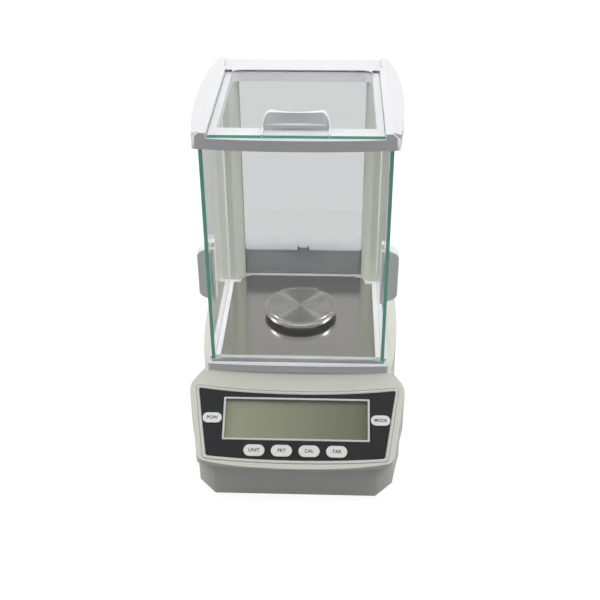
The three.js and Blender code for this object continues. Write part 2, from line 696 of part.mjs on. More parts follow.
const coverTop = zFloor + 31.5;
const coverHalf = grooveInner - 2.5 - 1;
const coverFront = columnBack + gap;
const coverRear = yShieldRear - 2;
const coverWall = 2.5;
const panelFrontY = yRearGlassBack + gap;

place('rear_panel', bandGrey, block([-columnInner + 1, columnInner - 1], [panelFrontY, coverFront - gap],
  [zFloor + gap, coverTop - 1.5]));

const levelX = -columnInner - 7;
const levelY = coverFront + levelRadius + 5;

function rearCover() {
  const outer = block([-coverHalf, coverHalf], [coverFront, coverRear], [ledgeTop + gap, coverTop]);
  const lip = block([-columnInner + 1, columnInner - 1], [panelFrontY, coverFront + 1],
    [coverTop - 1.2, coverTop]);
  const hollow = block([-coverHalf + coverWall, coverHalf - coverWall],
    [coverFront + coverWall, coverRear - coverWall], [ledgeTop - 1, coverTop - coverWall]);
  return cut(join(outer, lip), hollow,
    disc(levelRadius + gap, [coverTop - 5, coverTop + 1], levelX, levelY, 24));
}
place('rear_cover', white, rearCover());

place('rear_glass_clip', white, block([-6.5, 6.5], [panelFrontY, panelFrontY + 4],
  [coverTop + gap, coverTop + 3.5]));

place('level_body', blackPlastic, turned([
  [0, coverTop - 4.6], [levelRadius, coverTop - 4.6], [levelRadius, coverTop + gap],
  [levelRadius + 1, coverTop + gap], [levelRadius + 0.5, coverTop + 1.6], [levelRadius - 1.2, coverTop + 1.6],
  [levelRadius - 1.2, coverTop - 3], [0, coverTop - 3],
], levelX, levelY, 24));
place('level_vial', liquid, turned([
  [0, coverTop - 3 + gap], [levelRadius - 1.5, coverTop - 3 + gap], [levelRadius - 1.5, coverTop + 0.6],
  [levelRadius / 2, coverTop + 1.3], [0, coverTop + 1.5],
], levelX, levelY, 24));

// ---------------------------------------------------------------- top frame

const glassLedge = zTop - 7.3;           // top of the ledge that the top pane slides on
const topGlassLow = glassLedge + gap;
const topGlassHigh = topGlassLow + topGlassThickness;
const topGlassHalf = chamberHalf - 5.7;
const hatchHalf = chamberHalf - 12.9;
const topGlassFront = yGlassFront - 5.2;
const topFrontY = yShield - 2;
const crossbarRear = yGlassBack + 11.9;
const railRear = yRearGlass + 29;
const barFront = yRearGlass - 3;
const barHalf = topGlassHalf + 2.5;
const paneGroove = 4.2;                  // how far the upright panes reach into the top frame

// Half-width of the top frame: an arc from the front corner, widest near the middle, to the rear.
function topOutline() {
  const bow = 5;
  const path = new THREE.Path();
  path.moveTo(0, topFrontY - bow);
  path.quadraticCurveTo(shieldHalf * 0.55, topFrontY - bow, shieldHalf - 5, topFrontY);
  path.quadraticCurveTo(shieldHalf, topFrontY, shieldHalf + 0.4, topFrontY + 3);
  path.bezierCurveTo(doorOuter + 14.7, yPan - 35, doorOuter + 18.7, yRearGlass - 16,
    shieldHalf - 3.6, railRear);
  path.lineTo(0, railRear);
  return mirroredShape(path, 10);
}

function topFrame() {
  const crown = chamberHalf + 1.1;       // the rail's top falls away outwards from here
  const far = bodyHalf + 10;
  const fall = 0.28 * (far - crown);
  const roof = barAlongY(
    [[-far, zTopFrame], [far, zTopFrame], [far, zTop - fall], [crown, zTop], [-crown, zTop],
      [-far, zTop - fall]],
    [topFrontY - 20, railRear + 20]);
  const groove = (y, x) => block(x, y, [zTopFrame - 1, zTopFrame + paneGroove]);
  return cut(
    slab(topOutline(), [zTopFrame, zTop]).intersect(roof),
    block([-hatchHalf, hatchHalf], [crossbarRear, railRear + 1], [zTopFrame - 1, zTop + 1]),
    block([-topGlassHalf - gap, topGlassHalf + gap], [topGlassFront - gap, barFront], [glassLedge, zTop + 1]),
    block([-topGlassHalf - gap, topGlassHalf + gap], [topFrontY - 20, topGlassFront],
      [glassLedge + 1.9, zTop + 1]),
    block([-barHalf - gap, barHalf + gap], [barFront - gap, railRear + 1], [zTopFrame - 1, zTop + 1]),
    groove([yGlassFront - gap, yGlassBack + gap], [-doorOuter - gap, doorOuter + gap]),
    bothSides(groove([yGlassBack - 1, railRear + 1], [grooveInner, grooveOuter])),
  );
}
place('top_frame', white, topFrame());

// Rear bar: rounded corners towards the hatch, a slot for the top pane, a groove for the rear pane.
function rearBar() {
  const corner = 11;
  const path = new THREE.Path();
  path.moveTo(0, barFront);
  path.lineTo(hatchHalf - gap - corner, barFront);
  path.quadraticCurveTo(hatchHalf - gap, barFront, hatchHalf - gap, barFront - corner);
  path.lineTo(hatchHalf - gap, barFront);
  path.lineTo(barHalf, barFront);
  path.lineTo(barHalf, railRear - 2);
  path.lineTo(0, railRear - 2);
  return cut(
    slab(mirroredShape(path, 5), [zTopFrame, zTop - 0.4]),
    block([-topGlassHalf - slide, topGlassHalf + slide], [barFront - 20, railRear + 1],
      [glassLedge, topGlassHigh + slide]),
    block([-columnInner - glassPocket - gap, columnInner + glassPocket + gap],
      [yRearGlass - gap, yRearGlassBack + gap], [zTopFrame - 1, zTopFrame + 3 + gap]),
  );
}
place('top_rear_bar', white, rearBar());

// ---------------------------------------------------------------- front pane and sliding doors

place('front_glass', glass, block([-doorOuter, doorOuter], [yGlassFront, yGlassBack],
  [ledgeTop - 0.9, zTopFrame + paneGroove - gap]));

const doorFront = yGlassBack + gap;
const doorRear = columnFront + 18;
placePair('side_door_glass', glass, block([chamberHalf, doorOuter], [doorFront, doorRear],
  [ledgeTop + slide, zTopFrame + paneGroove - slide]));

const handleY = [yGlassBack + 16, yGlassBack + 16 + handleDepth];
const handleLow = zFloor + handleBottom;
const handleHigh = handleLow + handleHeight;
const handleInner = doorOuter + gap;
placePair('door_handle_outer', white, barAlongY([
  [handleInner, handleLow], [handleInner + handleReach - 3, handleLow + 4],
  [handleInner + handleReach, handleLow + 8], [handleInner + handleReach, handleHigh - 8],
  [handleInner + handleReach - 3, handleHigh - 4], [handleInner, handleHigh],
], handleY));
placePair('door_handle_inner', white, join(
  block([chamberHalf - gap - 2.8, chamberHalf - gap], handleY, [handleLow - 1, handleHigh]),
  block([chamberHalf - gap - 2.8, chamberHalf - gap], [handleY[0] + 3, handleY[1] - 3],
    [handleHigh - 1, handleHigh + 6]),
));

const topGlassRear = barFront + 8;
place('top_door_glass', glass, block([-topGlassHalf, topGlassHalf], [topGlassFront, topGlassRear],
  [topGlassLow, topGlassHigh]));

// Arched pull with a finger recess in its front; two thin arms hook over the pane's front edge.
function topHandle() {
  const half = topHandleWidth / 2;
  const low = topGlassHigh + gap;
  const high = low + topHandleHeight;
  const front = topGlassFront + topHandleSetback;
  const rear = front + topHandleDepth;
  const arch = (inset, [y0, y1]) => {
    const shape = new THREE.Shape();
    shape.moveTo(-half + inset, low + inset);
    shape.lineTo(half - inset, low + inset);
    shape.quadraticCurveTo(half - inset - 3, high - inset, half - inset - 12, high - inset);
    shape.lineTo(-half + inset + 12, high - inset);
    shape.quadraticCurveTo(-half + inset + 3, high - inset, -half + inset, low + inset);
    const options = { depth: y1 - y0, bevelEnabled: false, curveSegments: 8 };
    return solidOf(new THREE.ExtrudeGeometry(shape, options).rotateX(Math.PI / 2).translate(0, y1, 0));
  };
  const x = [half - 1.6, half - 0.4];
  const arm = block(x, [topGlassFront - 1.6, front + 1], [low, low + 1.2]);
  const hook = block(x, [topGlassFront - 1.6, topGlassFront - 0.4], [topGlassLow + 2.2, low + 0.5]);
  return join(cut(arch(0, [front, rear]), arch(2, [front - 1, rear - 2.5])), bothSides(join(arm, hook)));
}
place('top_door_handle', white, topHandle());

export default balance;
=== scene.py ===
import json
import math

import bmesh
import bpy
from mathutils import Matrix, Vector


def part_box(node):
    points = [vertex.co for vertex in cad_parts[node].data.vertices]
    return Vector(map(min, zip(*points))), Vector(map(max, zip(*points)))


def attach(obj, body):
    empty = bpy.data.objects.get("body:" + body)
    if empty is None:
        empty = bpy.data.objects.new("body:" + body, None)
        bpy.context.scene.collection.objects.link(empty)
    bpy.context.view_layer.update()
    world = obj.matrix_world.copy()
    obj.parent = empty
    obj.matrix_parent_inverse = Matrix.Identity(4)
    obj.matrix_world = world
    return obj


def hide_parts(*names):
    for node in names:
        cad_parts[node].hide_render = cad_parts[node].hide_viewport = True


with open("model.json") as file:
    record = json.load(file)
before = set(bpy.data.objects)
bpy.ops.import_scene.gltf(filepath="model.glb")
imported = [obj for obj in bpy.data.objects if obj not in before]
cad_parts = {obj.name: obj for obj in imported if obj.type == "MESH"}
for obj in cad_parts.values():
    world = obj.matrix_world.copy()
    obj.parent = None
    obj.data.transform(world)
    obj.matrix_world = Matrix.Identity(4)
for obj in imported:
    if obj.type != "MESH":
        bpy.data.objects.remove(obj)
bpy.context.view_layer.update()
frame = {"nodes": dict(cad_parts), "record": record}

# -------- camera
# A 57 mm lens on a 36 mm frame, about 1.1 m away, above eye level on the bench and a little to the
# right of the balance, turned back towards it.
camera_place = Vector((0.0361, -0.8892, 0.7154))
camera_turn = 2.313
camera_dip = 32.444
camera_roll = -0.389
camera_data = bpy.data.cameras.new("camera")
camera_data.lens = 57.41
camera_data.sensor_width = 36.0
camera = bpy.data.objects.new("camera", camera_data)
camera.matrix_world = (Matrix.Translation(camera_place)
                       @ Matrix.Rotation(math.radians(camera_turn), 4, "Z")
                       @ Matrix.Rotation(math.radians(90 - camera_dip), 4, "X")
                       @ Matrix.Rotation(math.radians(camera_roll), 4, "Z"))
bpy.context.scene.collection.objects.link(camera)
bpy.context.scene.camera = camera
bpy.context.scene.view_settings.view_transform = "Standard"

# -------- bench and light
# A white bench and white walls under a wide soft box, with a soft strip on three sides. For light that
# has bounced the bench and walls count as grey, so that upright faces stay darker than level ones.


def wired(tree, kind, values=(), **settings):
    """A new shader node; each input gets a plain value or a link from another node's output."""
    made = tree.nodes.new("ShaderNode" + kind)
    for setting, value in settings.items():
        setattr(made, setting, value)
    for name, value in dict(values).items():
        if isinstance(value, bpy.types.NodeSocket):
            tree.links.new(value, made.inputs[name])
        else:
            made.inputs[name].default_value = value
    return made


def four_faced(tree, looks, target):
    """Shows its first shader directly, and the others through glass, in mirrors and to bounced light."""
    path = wired(tree, "LightPath")
    shown = looks[0]
    for depth, look in zip(("Transmission Depth", "Glossy Depth", "Diffuse Depth"), looks[1:]):
        deep = wired(tree, "Math", {0: path.outputs[depth], 1: 0.5}, operation="GREATER_THAN")
        shown = wired(tree, "MixShader", {0: deep.outputs[0], 1: shown.outputs[0], 2: look.outputs[0]})
    wired(tree, target, {"Surface": shown.outputs[0]})


bench_mesh = bpy.data.meshes.new("bench")
bench_mesh.from_pydata([(-6, -6, 0), (6, -6, 0), (6, 6, 0), (-6, 6, 0)], [], [(0, 1, 2, 3)])
bench = bpy.data.objects.new("bench", bench_mesh)
bpy.context.scene.collection.objects.link(bench)
bench_finish = bpy.data.materials.new("bench")
bench_finish.use_nodes = True
bench_tree = bench_finish.node_tree
bench_tree.nodes.clear()
white = (1, 1, 1, 1)
bench_glow = wired(bench_tree, "Emission", {"Color": white, "Strength": 0.93})
bench_paint = wired(bench_tree, "BsdfDiffuse", {"Color": (0.14, 0.14, 0.14, 1)})
bench_looks = (wired(bench_tree, "AddShader", {0: bench_glow.outputs[0], 1: bench_paint.outputs[0]}),
               wired(bench_tree, "Emission", {"Color": white, "Strength": 0.79}),
               wired(bench_tree, "Emission", {"Color": white, "Strength": 0.5}),
               wired(bench_tree, "BsdfDiffuse", {"Color": (0.2, 0.2, 0.2, 1)}))
four_faced(bench_tree, bench_looks, "OutputMaterial")
bench_mesh.materials.append(bench_finish)

room = bpy.data.worlds.new("room")
bpy.context.scene.world = room
room.use_nodes = True
room_tree = room.node_tree
room_tree.nodes.clear()
room_looks = [wired(room_tree, "Background", {"Color": white, "Strength": strength})
              for strength in (1.0, 0.79, 0.5, 0.27)]
room_way = wired(room_tree, "TexCoord")
room_axes = wired(room_tree, "SeparateXYZ", {0: room_way.outputs["Generated"]})
room_rise = wired(room_tree, "MapRange", {"Value": room_axes.outputs["Z"], "To Min": 0.85, "To Max": 0.3})
room_tree.links.new(room_rise.outputs[0], room_looks[2].inputs["Strength"])
four_faced(room_tree, room_looks, "OutputWorld")

for lamp_name, lamp_place, lamp_size, lamp_watts in (
        ("soft_box", (0, 0.25, 2.1), (2.2, 1.8), 23.0),
        ("left_strip", (-1.2, 0, 0.75), (0.35, 0.7), 6.0),
        ("right_strip", (1.2, 0, 0.75), (0.35, 0.7), 6.0),
        ("back_strip", (0, 1.1, 1.0), (1.2, 0.35), 3.6)):
    lamp_data = bpy.data.lights.new(lamp_name, "AREA")
    lamp_data.shape = "RECTANGLE"
    lamp_data.size, lamp_data.size_y = lamp_size
    lamp_data.energy = lamp_watts
    lamp = bpy.data.objects.new(lamp_name, lamp_data)
    lamp.location = lamp_place
    lamp.rotation_euler = (Vector((0, 0, 0.2)) - lamp.location).to_track_quat("-Z", "Y").to_euler()
    if lamp_name == "soft_box":
        lamp.rotation_euler = (0, 0, 0)
    if lamp_name == "back_strip":
        lamp.visible_glossy = False
        lamp.visible_transmission = False
    bpy.context.scene.collection.objects.link(lamp)

# -------- lower housing
# The tray under the balance: a 3 mm shell moulded in ABS, with a straight front and cut
# corners. Four screws hold it up into the upper housing. Its colour is the shell's ivory made darker:
# painted shade for a part that lies in shade under the light from above.
mm = 0.001
body_of = {node: body for body, nodes in frame["record"]["behaviour"]["bodies"].items() for node in nodes}


def bend(path, *points, steps=12):
    """Adds a curve with one or two control points to an outline of (x, y) points in mm."""
    start = path[-1]
    for i in range(1, steps + 1):
        level = [start, *points]
        while len(level) > 1:
            level = [tuple(a + (b - a) * i / steps for a, b in zip(p, q)) for p, q in zip(level, level[1:])]
        path.append(level[0])


def mirrored(right_half):
    """A closed outline from its right half, which starts and ends on the centre line."""
    return right_half + [(-x, y) for x, y in reversed(right_half[1:-1])]


def loft(*rings):
    """A closed form through level rings of points, given from the lowest to the highest in mm."""
    form = bmesh.new()
    made = [[form.verts.new(Vector(point) * mm) for point in ring] for ring in rings]
    form.faces.new(list(reversed(made[0])))
    form.faces.new(made[-1])
    for low, high in zip(made, made[1:]):
        for i in range(len(low)):
            j = (i + 1) % len(low)
            form.faces.new((low[i], low[j], high[j], high[i]))
    bmesh.ops.recalc_face_normals(form, faces=form.faces)
    return form


def prism(outline, low, high):
    """A plan outline in mm, raised from one height to another."""
    return loft([(x, y, low) for x, y in outline], [(x, y, high) for x, y in outline])


def drum(x, y, radius, low, high, sides=32):
    """An upright round bar, in mm."""
    turns = [2 * math.pi * i / sides for i in range(sides)]
    return prism([(x + radius * math.cos(a), y + radius * math.sin(a)) for a in turns], low, high)


def brick(x, y, z):
    """A block between pairs of limits, in mm."""
    return prism([(x[0], y[0]), (x[1], y[0]), (x[1], y[1]), (x[0], y[1])], *z)


def round_edges(form, radius, segments=3, least_angle=28, chosen=lambda edge: True):
    """Rounds the sharp edges of a form to a radius in mm."""
    least = math.radians(least_angle)
    edges = [edge for edge in form.edges
             if edge.is_manifold and edge.calc_face_angle(0) > least and chosen(edge)]
    bmesh.ops.bevel(form, geom=edges, offset=radius * mm, segments=segments, profile=0.5,
                    affect="EDGES", clamp_overlap=True)
    return form


def shape(name, form):
    """Turns a form into an object in the scene."""
    mesh = bpy.data.meshes.new(name)
    form.to_mesh(mesh)
    form.free()
    piece = bpy.data.objects.new(name, mesh)
    bpy.context.scene.collection.objects.link(piece)
    return piece


def cut_away(piece, *cutters, operation="DIFFERENCE"):
    """Takes the cutters out of a piece."""
    together = bmesh.new()
    for cutter in cutters:
        loose = bpy.data.meshes.new("cutter")
        cutter.to_mesh(loose)
        cutter.free()
        together.from_mesh(loose)
        bpy.data.meshes.remove(loose)
    tool = shape("cutter", together)
    boolean = piece.modifiers.new("cut", "BOOLEAN")
    boolean.operation = operation
    boolean.solver = "EXACT"
    boolean.object = tool
    bpy.context.view_layer.update()
    seen = piece.evaluated_get(bpy.context.evaluated_depsgraph_get())
    result = bpy.data.meshes.new_from_object(seen)
    piece.modifiers.clear()
    piece.data = result
    bpy.data.objects.remove(tool)
    return piece


def dress(piece, finish, *nodes, sharp=34):
    """Smooths a piece, gives it its finish, and fixes it to the body of the CAD nodes it stands for."""
    piece.data.shade_smooth()
    piece.data.set_sharp_from_angle(angle=math.radians(sharp))
    weighted = piece.modifiers.new("even shading", "WEIGHTED_NORMAL")
    weighted.keep_sharp = True
    weighted.weight = 80
    if not piece.data.materials:
        piece.data.materials.append(finish)
    piece.data.materials[0] = finish
    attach(piece, body_of[nodes[0]])
    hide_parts(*nodes)


def socket(tree, name, direction, kind, value=None):
    """A named input or output of a node group."""
    made = tree.interface.new_socket(name, in_out=direction, socket_type=kind)
    if value is not None:
        made.default_value = value


def grain_group():
    """Spark-eroded texture of a mould: fine pits, and a slow unevenness of colour and gloss."""
    tree = bpy.data.node_groups.new("Moulded grain", "ShaderNodeTree")
    socket(tree, "Pits per metre", "INPUT", "NodeSocketFloat", 1800.0)
    socket(tree, "Height", "OUTPUT", "NodeSocketFloat")
    socket(tree, "Unevenness", "OUTPUT", "NodeSocketFloat")
    start = tree.nodes.new("NodeGroupInput")
    end = tree.nodes.new("NodeGroupOutput")
    place = wired(tree, "TexCoord").outputs["Object"]
    pits = wired(tree, "TexNoise", {"Scale": start.outputs[0], "Detail": 4.0, "Vector": place})
    slow = wired(tree, "TexNoise", {"Scale": 14.0, "Detail": 3.0, "Vector": place})
    tree.links.new(pits.outputs["Fac"], end.inputs["Height"])
    tree.links.new(slow.outputs["Fac"], end.inputs["Unevenness"])
    return tree


def wear_group():
    """Edges that hands and cloths have polished: a mask that is strongest on outside corners."""
    tree = bpy.data.node_groups.new("Edge wear", "ShaderNodeTree")
    socket(tree, "Amount", "INPUT", "NodeSocketFloat", 0.3)
    socket(tree, "Mask", "OUTPUT", "NodeSocketFloat")
    start = tree.nodes.new("NodeGroupInput")
    end = tree.nodes.new("NodeGroupOutput")
    corners = wired(tree, "NewGeometry").outputs["Pointiness"]
    edges = wired(tree, "MapRange", {"Value": corners, "From Min": 0.52, "From Max": 0.66})
    place = wired(tree, "TexCoord").outputs["Object"]
    patches = wired(tree, "TexNoise", {"Scale": 60.0, "Vector": place})
    broken = wired(tree, "Math", {0: edges.outputs[0], 1: patches.outputs["Fac"]}, operation="MULTIPLY")
    scaled = wired(tree, "Math", {0: broken.outputs[0], 1: start.outputs["Amount"]}, operation="MULTIPLY")
    tree.links.new(scaled.outputs[0], end.inputs["Mask"])
    return tree


moulded_grain = grain_group()
edge_wear = wear_group()


def blended(tree, factor, first, second):
    """A mix of two colours; each is a colour value or an output."""
    mix = tree.nodes.new("ShaderNodeMix")
    mix.data_type = "RGBA"
    tree.links.new(factor, mix.inputs["Factor"])
    for name, value in (("A", first), ("B", second)):
        slot = next(s for s in mix.inputs if s.name == name and s.type == "RGBA")
        if isinstance(value, tuple):
            slot.default_value = (*value, 1)
        else:
            tree.links.new(value, slot)
    return next(s for s in mix.outputs if s.type == "RGBA")


def ranged(tree, value, low, high):
    """Maps a value of 0.3 to 0.7, as noise gives, to a range."""
    scale = wired(tree, "MapRange", {
        "Value": value, "From Min": 0.3, "From Max": 0.7, "To Min": low, "To Max": high})
    return scale.outputs[0]


def set_values(shader, **values):
    """Sets a shader's own sockets; a name's low lines stand for spaces."""
    for name, value in values.items():
        shader.inputs[name.replace("_", " ")].default_value = value


def place_bump(tree, shader, height, strength, distance):
    """Relief from a height that varies over the surface; distance is its depth in metres."""
    bump = wired(tree, "Bump", {"Height": height, "Strength": strength, "Distance": distance})
    tree.links.new(bump.outputs["Normal"], shader.inputs["Normal"])


def new_finish(name):
    """A new material with its node tree and its shader."""
    material = bpy.data.materials.new(name)
    material.use_nodes = True
    return material, material.node_tree, material.node_tree.nodes["Principled BSDF"]


def grained(name, colour, shade, light, pits, wear):
    """A finish with uneven colour and worn edges; gives back its tree, shader and grain as well."""
    material, tree, shader = new_finish(name)
    grain = wired(tree, "Group", {"Pits per metre": pits}, node_tree=moulded_grain)
    worn = wired(tree, "Group", {"Amount": wear}, node_tree=edge_wear)
    base = blended(tree, grain.outputs["Unevenness"], shade, colour)
    tree.links.new(blended(tree, worn.outputs["Mask"], base, light), shader.inputs["Base Color"])
    return material, tree, shader, grain


def plastic(name, colour, roughness, pits, depth, wear=0.3, gloss=0.5):
    """Moulded plastic: pits is how many of the mould's pits lie on a metre, depth how deep they look."""
    shade = tuple(c * 0.93 for c in colour)
    light = tuple(min(1.0, c * 1.15 + 0.02) for c in colour)
    material, tree, shader, grain = grained(name, colour, shade, light, pits, wear)
    tree.links.new(ranged(tree, grain.outputs["Unevenness"], roughness - 0.05, roughness + 0.05),
                   shader.inputs["Roughness"])
    place_bump(tree, shader, grain.outputs["Height"], depth, 0.0002)
    shader.inputs["Specular IOR Level"].default_value = gloss
    return material


def box_of(node):
    """Lowest and highest corner of a CAD node, in mm."""
    return [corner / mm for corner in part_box(node)]


def middle_of(node):
    """Middle of a CAD node in plan, in mm."""
    low, high = box_of(node)
    return (low.x + high.x) / 2, (low.y + high.y) / 2


shell_low, shell_high = box_of("upper_housing")
tray_low, tray_high = box_of("lower_housing")
door_outer = box_of("front_glass")[1].x
rear_glass_y = box_of("rear_glass")[0].y
console_reach = 86.2
shield_y = shell_low.y + console_reach
front_half = door_outer + 9.4
waist_half = door_outer + 8.2
body_half = door_outer + 18.7
rear_half = door_outer + 14.7
flare_half = shell_high.x
shell_wall = 3.0
tray_inset = 2.5


def close_outline(path, inset):
    """Sides and back of the base in plan: flared console, waist, barrel-sided body, rounded back."""
    flare, waist, body, rear = (half - inset for half in (flare_half, waist_half, body_half, rear_half))
    back = shell_high.y - inset
    corner = shield_y - 15
    bend(path, (flare - 3.5, corner - 12), (flare - 1.4, corner - 6))
    bend(path, (flare, corner + 2), (flare - 5, corner + 7))
    bend(path, (waist + 5, corner + 12), (waist + 3, corner + 14), steps=3)
    bend(path, (waist, corner + 17), (waist, corner + 22))
    bend(path, (waist + 3, shield_y + 25), (body, shield_y + 63), (body, rear_glass_y - 66), steps=20)
    bend(path, (body, rear_glass_y - 11), (rear, back - 16), steps=20)
    bend(path, (rear - 1, back), (rear - 16, back))
    path.append((0, back))
    return mirrored(path)


def console_outline(inset, corner):
    """Plan of the base with the bowed front of the upper shell."""
    half = front_half - inset
    front = shell_low.y + inset
    path = [(0, front)]
    bend(path, (half * 0.6, front), (half - corner, front + 5.5))
    bend(path, (half, front + 6.5), (half + 0.23 * corner, front + 5.5 + corner))
    return close_outline(path, inset)


def tray_outline(inset):
    """Plan of the tray's foot, with a straight front and cut corners."""
    front = shell_low.y + inset + 0.7
    cut_start = front_half - 16.2 - 0.4 * inset
    cut_end = front_half + 3.6 - inset
    path = [(0, front)]
    bend(path, (cut_start / 2, front), (cut_start, front))
    bend(path, ((cut_start + cut_end) / 2, front + 10.25), (cut_end, front + 20.5))
    return close_outline(path, inset)


def at_height(outline, z):
    """A plan outline as a level ring of points."""
    return [(x, y, z) for x, y in outline]


# Painted shade: the tray's plastic is the shell's ivory, darkened so that it looks shaded.
grey_plastic = plastic("grey_plastic", (0.65, 0.655, 0.615), 0.5, 1500, 0.35)
tray = shape("tray", round_edges(loft(
    at_height(tray_outline(tray_inset), tray_low.z),
    at_height(console_outline(tray_inset, 15), tray_high.z)), 1.2,
    chosen=lambda edge: all(vert.co.z < (tray_low.z + 1) * mm for vert in edge.verts)))
screw_places = [middle_of(f"housing_screw_{number}") for number in range(1, 5)]
foot_places = [middle_of(node) for node in (
    "front_foot_left", "front_foot_right", "levelling_screw_left", "levelling_screw_right")]
tray_floor = tray_low.z + shell_wall
cut_away(tray, loft(at_height(tray_outline(tray_inset + shell_wall), tray_floor),
                    at_height(console_outline(tray_inset + shell_wall, 13), tray_high.z + 1)))
screw_hole = 3.3
stud_hole = 4.4
cut_away(tray, *[drum(x, y, screw_hole, tray_low.z - 1, tray_low.z + 2) for x, y in screw_places],
         *[drum(x, y, screw_hole, tray_low.z - 1, tray_floor + 1) for x, y in foot_places[:2]],
         *[drum(x, y, stud_hole, tray_low.z - 1, tray_floor + 1) for x, y in foot_places[2:]])
dress(tray, grey_plastic, "lower_housing")

# -------- upper housing
# The ivory shell over the tray: the sloping console with its shallow seat for the display panel,
# the deck that carries the draft shield, and the barrel sides, moulded in one piece, 3 mm thick.
slope_foot = shell_low.z + 1.7
slope_top = shell_high.z
slope_angle = math.atan2(slope_top - slope_foot, console_reach)
slope_length = math.hypot(slope_top - slope_foot, console_reach)
on_slope = (Matrix.Translation(Vector((0, shell_low.y, slope_foot)) * mm)
            @ Matrix.Rotation(slope_angle, 4, "X"))
slope_out = Vector((0, -math.sin(slope_angle), math.cos(slope_angle)))


def tilted(form):
    """Lays a form drawn on the slope's own axes (across, up the slope, out of it) onto the slope."""
    bmesh.ops.transform(form, matrix=on_slope, verts=form.verts)
    return form


def sliced(form, point, normal):
    """Cuts off what lies beyond a plane and closes the cut."""
    cut = bmesh.ops.bisect_plane(form, geom=form.verts[:] + form.edges[:] + form.faces[:], dist=1e-7,
                                 plane_co=Vector(point) * mm, plane_no=normal, clear_outer=True)
    edges = [item for item in cut["geom_cut"] if isinstance(item, bmesh.types.BMEdge)]
    bmesh.ops.edgeloop_fill(form, edges=edges)
    bmesh.ops.recalc_face_normals(form, faces=form.faces)
    return form


panel_low = 12.7
panel_high = slope_length - 19.6
panel_half_low = front_half - 10.4 + 1.7
panel_half_high = flare_half - 10.4


def panel_outline(grow):
    """Outline of the dark panel on the slope: wider at its top, with sagging edges."""
    low, high = panel_low - grow, panel_high + grow
    radius = 2.5 + grow / 2
    half_low, half_high = panel_half_low + grow, panel_half_high + grow
    lean = (half_high - half_low) / (high - low)
    path = [(0, low - 3.8)]
    bend(path, (half_low * 0.55, low - 3.8), (half_low - radius, low - 0.2))
    bend(path, (half_low, low), (half_low + lean * radius, low + radius), steps=6)
    path.append((half_high - lean * radius, high - radius))
    bend(path, (half_high, high), (half_high - radius, high - 0.2), steps=6)
    bend(path, (half_high * 0.55, high - 5.8), (0, high - 5.8))
    return mirrored(path)


def rounded(x, y, radius, steps=6):
    """A rectangle with rounded corners, in mm."""
    corners = [(x[1] - radius, y[0] + radius, -90), (x[1] - radius, y[1] - radius, 0),
               (x[0] + radius, y[1] - radius, 90), (x[0] + radius, y[0] + radius, 180)]
    return [(cx + radius * math.cos(math.radians(a + 90 * i / steps)),
             cy + radius * math.sin(math.radians(a + 90 * i / steps)))
            for cx, cy, a in corners for i in range(steps + 1)]


def stadium(x, y, width, height):
    """A rectangle with half-round ends, in mm."""
    return rounded((x - width / 2, x + width / 2), (y - height / 2, y + height / 2), height / 2 - 0.01, 10)


def slope_place(node):
    """Lowest and highest corner of a node on the slope's own axes, in mm."""
    points = [on_slope.inverted() @ vert.co / mm for vert in frame["nodes"][node].data.vertices]
    low = [min(point[i] for point in points) for i in range(3)]
    high = [max(point[i] for point in points) for i in range(3)]
    return low, high


def through_slope(outline):
    """A cutter that passes right through the slope."""
    return tilted(prism(outline, -9, 9))


def grown(low, high, amount, radius):
    """A rounded rectangle a little larger or smaller than a node's front view on the slope."""
    return rounded((low[0] - amount, high[0] + amount), (low[1] - amount, high[1] + amount), radius)


window_low, window_high = slope_place("lcd_frame")
key_names = ("power", "mode", "unit", "print", "calibrate", "tare")
flange = 0.8
key_places = {}
for name in key_names:
    low, high = slope_place("key_" + name)
    key_places[name] = ((low[0] + high[0]) / 2, (low[1] + high[1]) / 2,
                        high[0] - low[0] - 2 * flange, high[1] - low[1] - 2 * flange, high[2])
panel_seat = -1.6


def console_form(inset, corner, low, high, depth, rounding):
    """The shell's outer or inner form: a raised plan whose front is sliced along the slope."""
    form = prism(console_outline(inset, corner), low, high)
    foot = Vector((0, shell_low.y, slope_foot)) - slope_out * depth
    sliced(form, foot, slope_out)
    if rounding:
        upper = (shell_low.z + 1) * mm
        round_edges(form, rounding, 5, 20, lambda edge: all(vert.co.z > upper for vert in edge.verts))
    return form


ivory_plastic = plastic("ivory_plastic", (0.75, 0.765, 0.69), 0.46, 1500, 0.3)
housing = shape("console_housing", console_form(0, 8, shell_low.z, shell_high.z, 0, 3.2))
cut_away(housing, console_form(shell_wall, 7, shell_low.z - 1, shell_high.z - shell_wall, shell_wall, 0))
cut_away(housing, tilted(prism(panel_outline(3.8), panel_seat, 9)))


def key_holes():
    """Cutters for the six keys, with a gap all round each."""
    gap = 0.3
    return [through_slope(stadium(x, y, width + 2 * gap, height + 2 * gap))
            for x, y, width, height, top in key_places.values()]


socket_low, socket_high = box_of("power_socket")
serial_low, serial_high = box_of("serial_port")
back_y = (shell_high.y - 6, shell_high.y + 1)
pan_y = middle_of("weighing_pan")[1]
post_hole = 11
cut_away(housing, *key_holes(), through_slope(grown(window_low, window_high, -0.5, 0.5)),
         drum(0, pan_y, post_hole, shell_high.z - 6, shell_high.z + 1),
         *[brick((low.x - 0.3, high.x + 0.3), back_y, (low.z - 0.3, high.z + 0.3))
           for low, high in ((socket_low, socket_high), (serial_low, serial_high))])
dress(housing, ivory_plastic, "upper_housing")

# -------- feet
# Two rubber buttons under the console, and two levelling feet at the back: a knurled black
# thumbwheel on a threaded stud, which turns on a rubber pad.


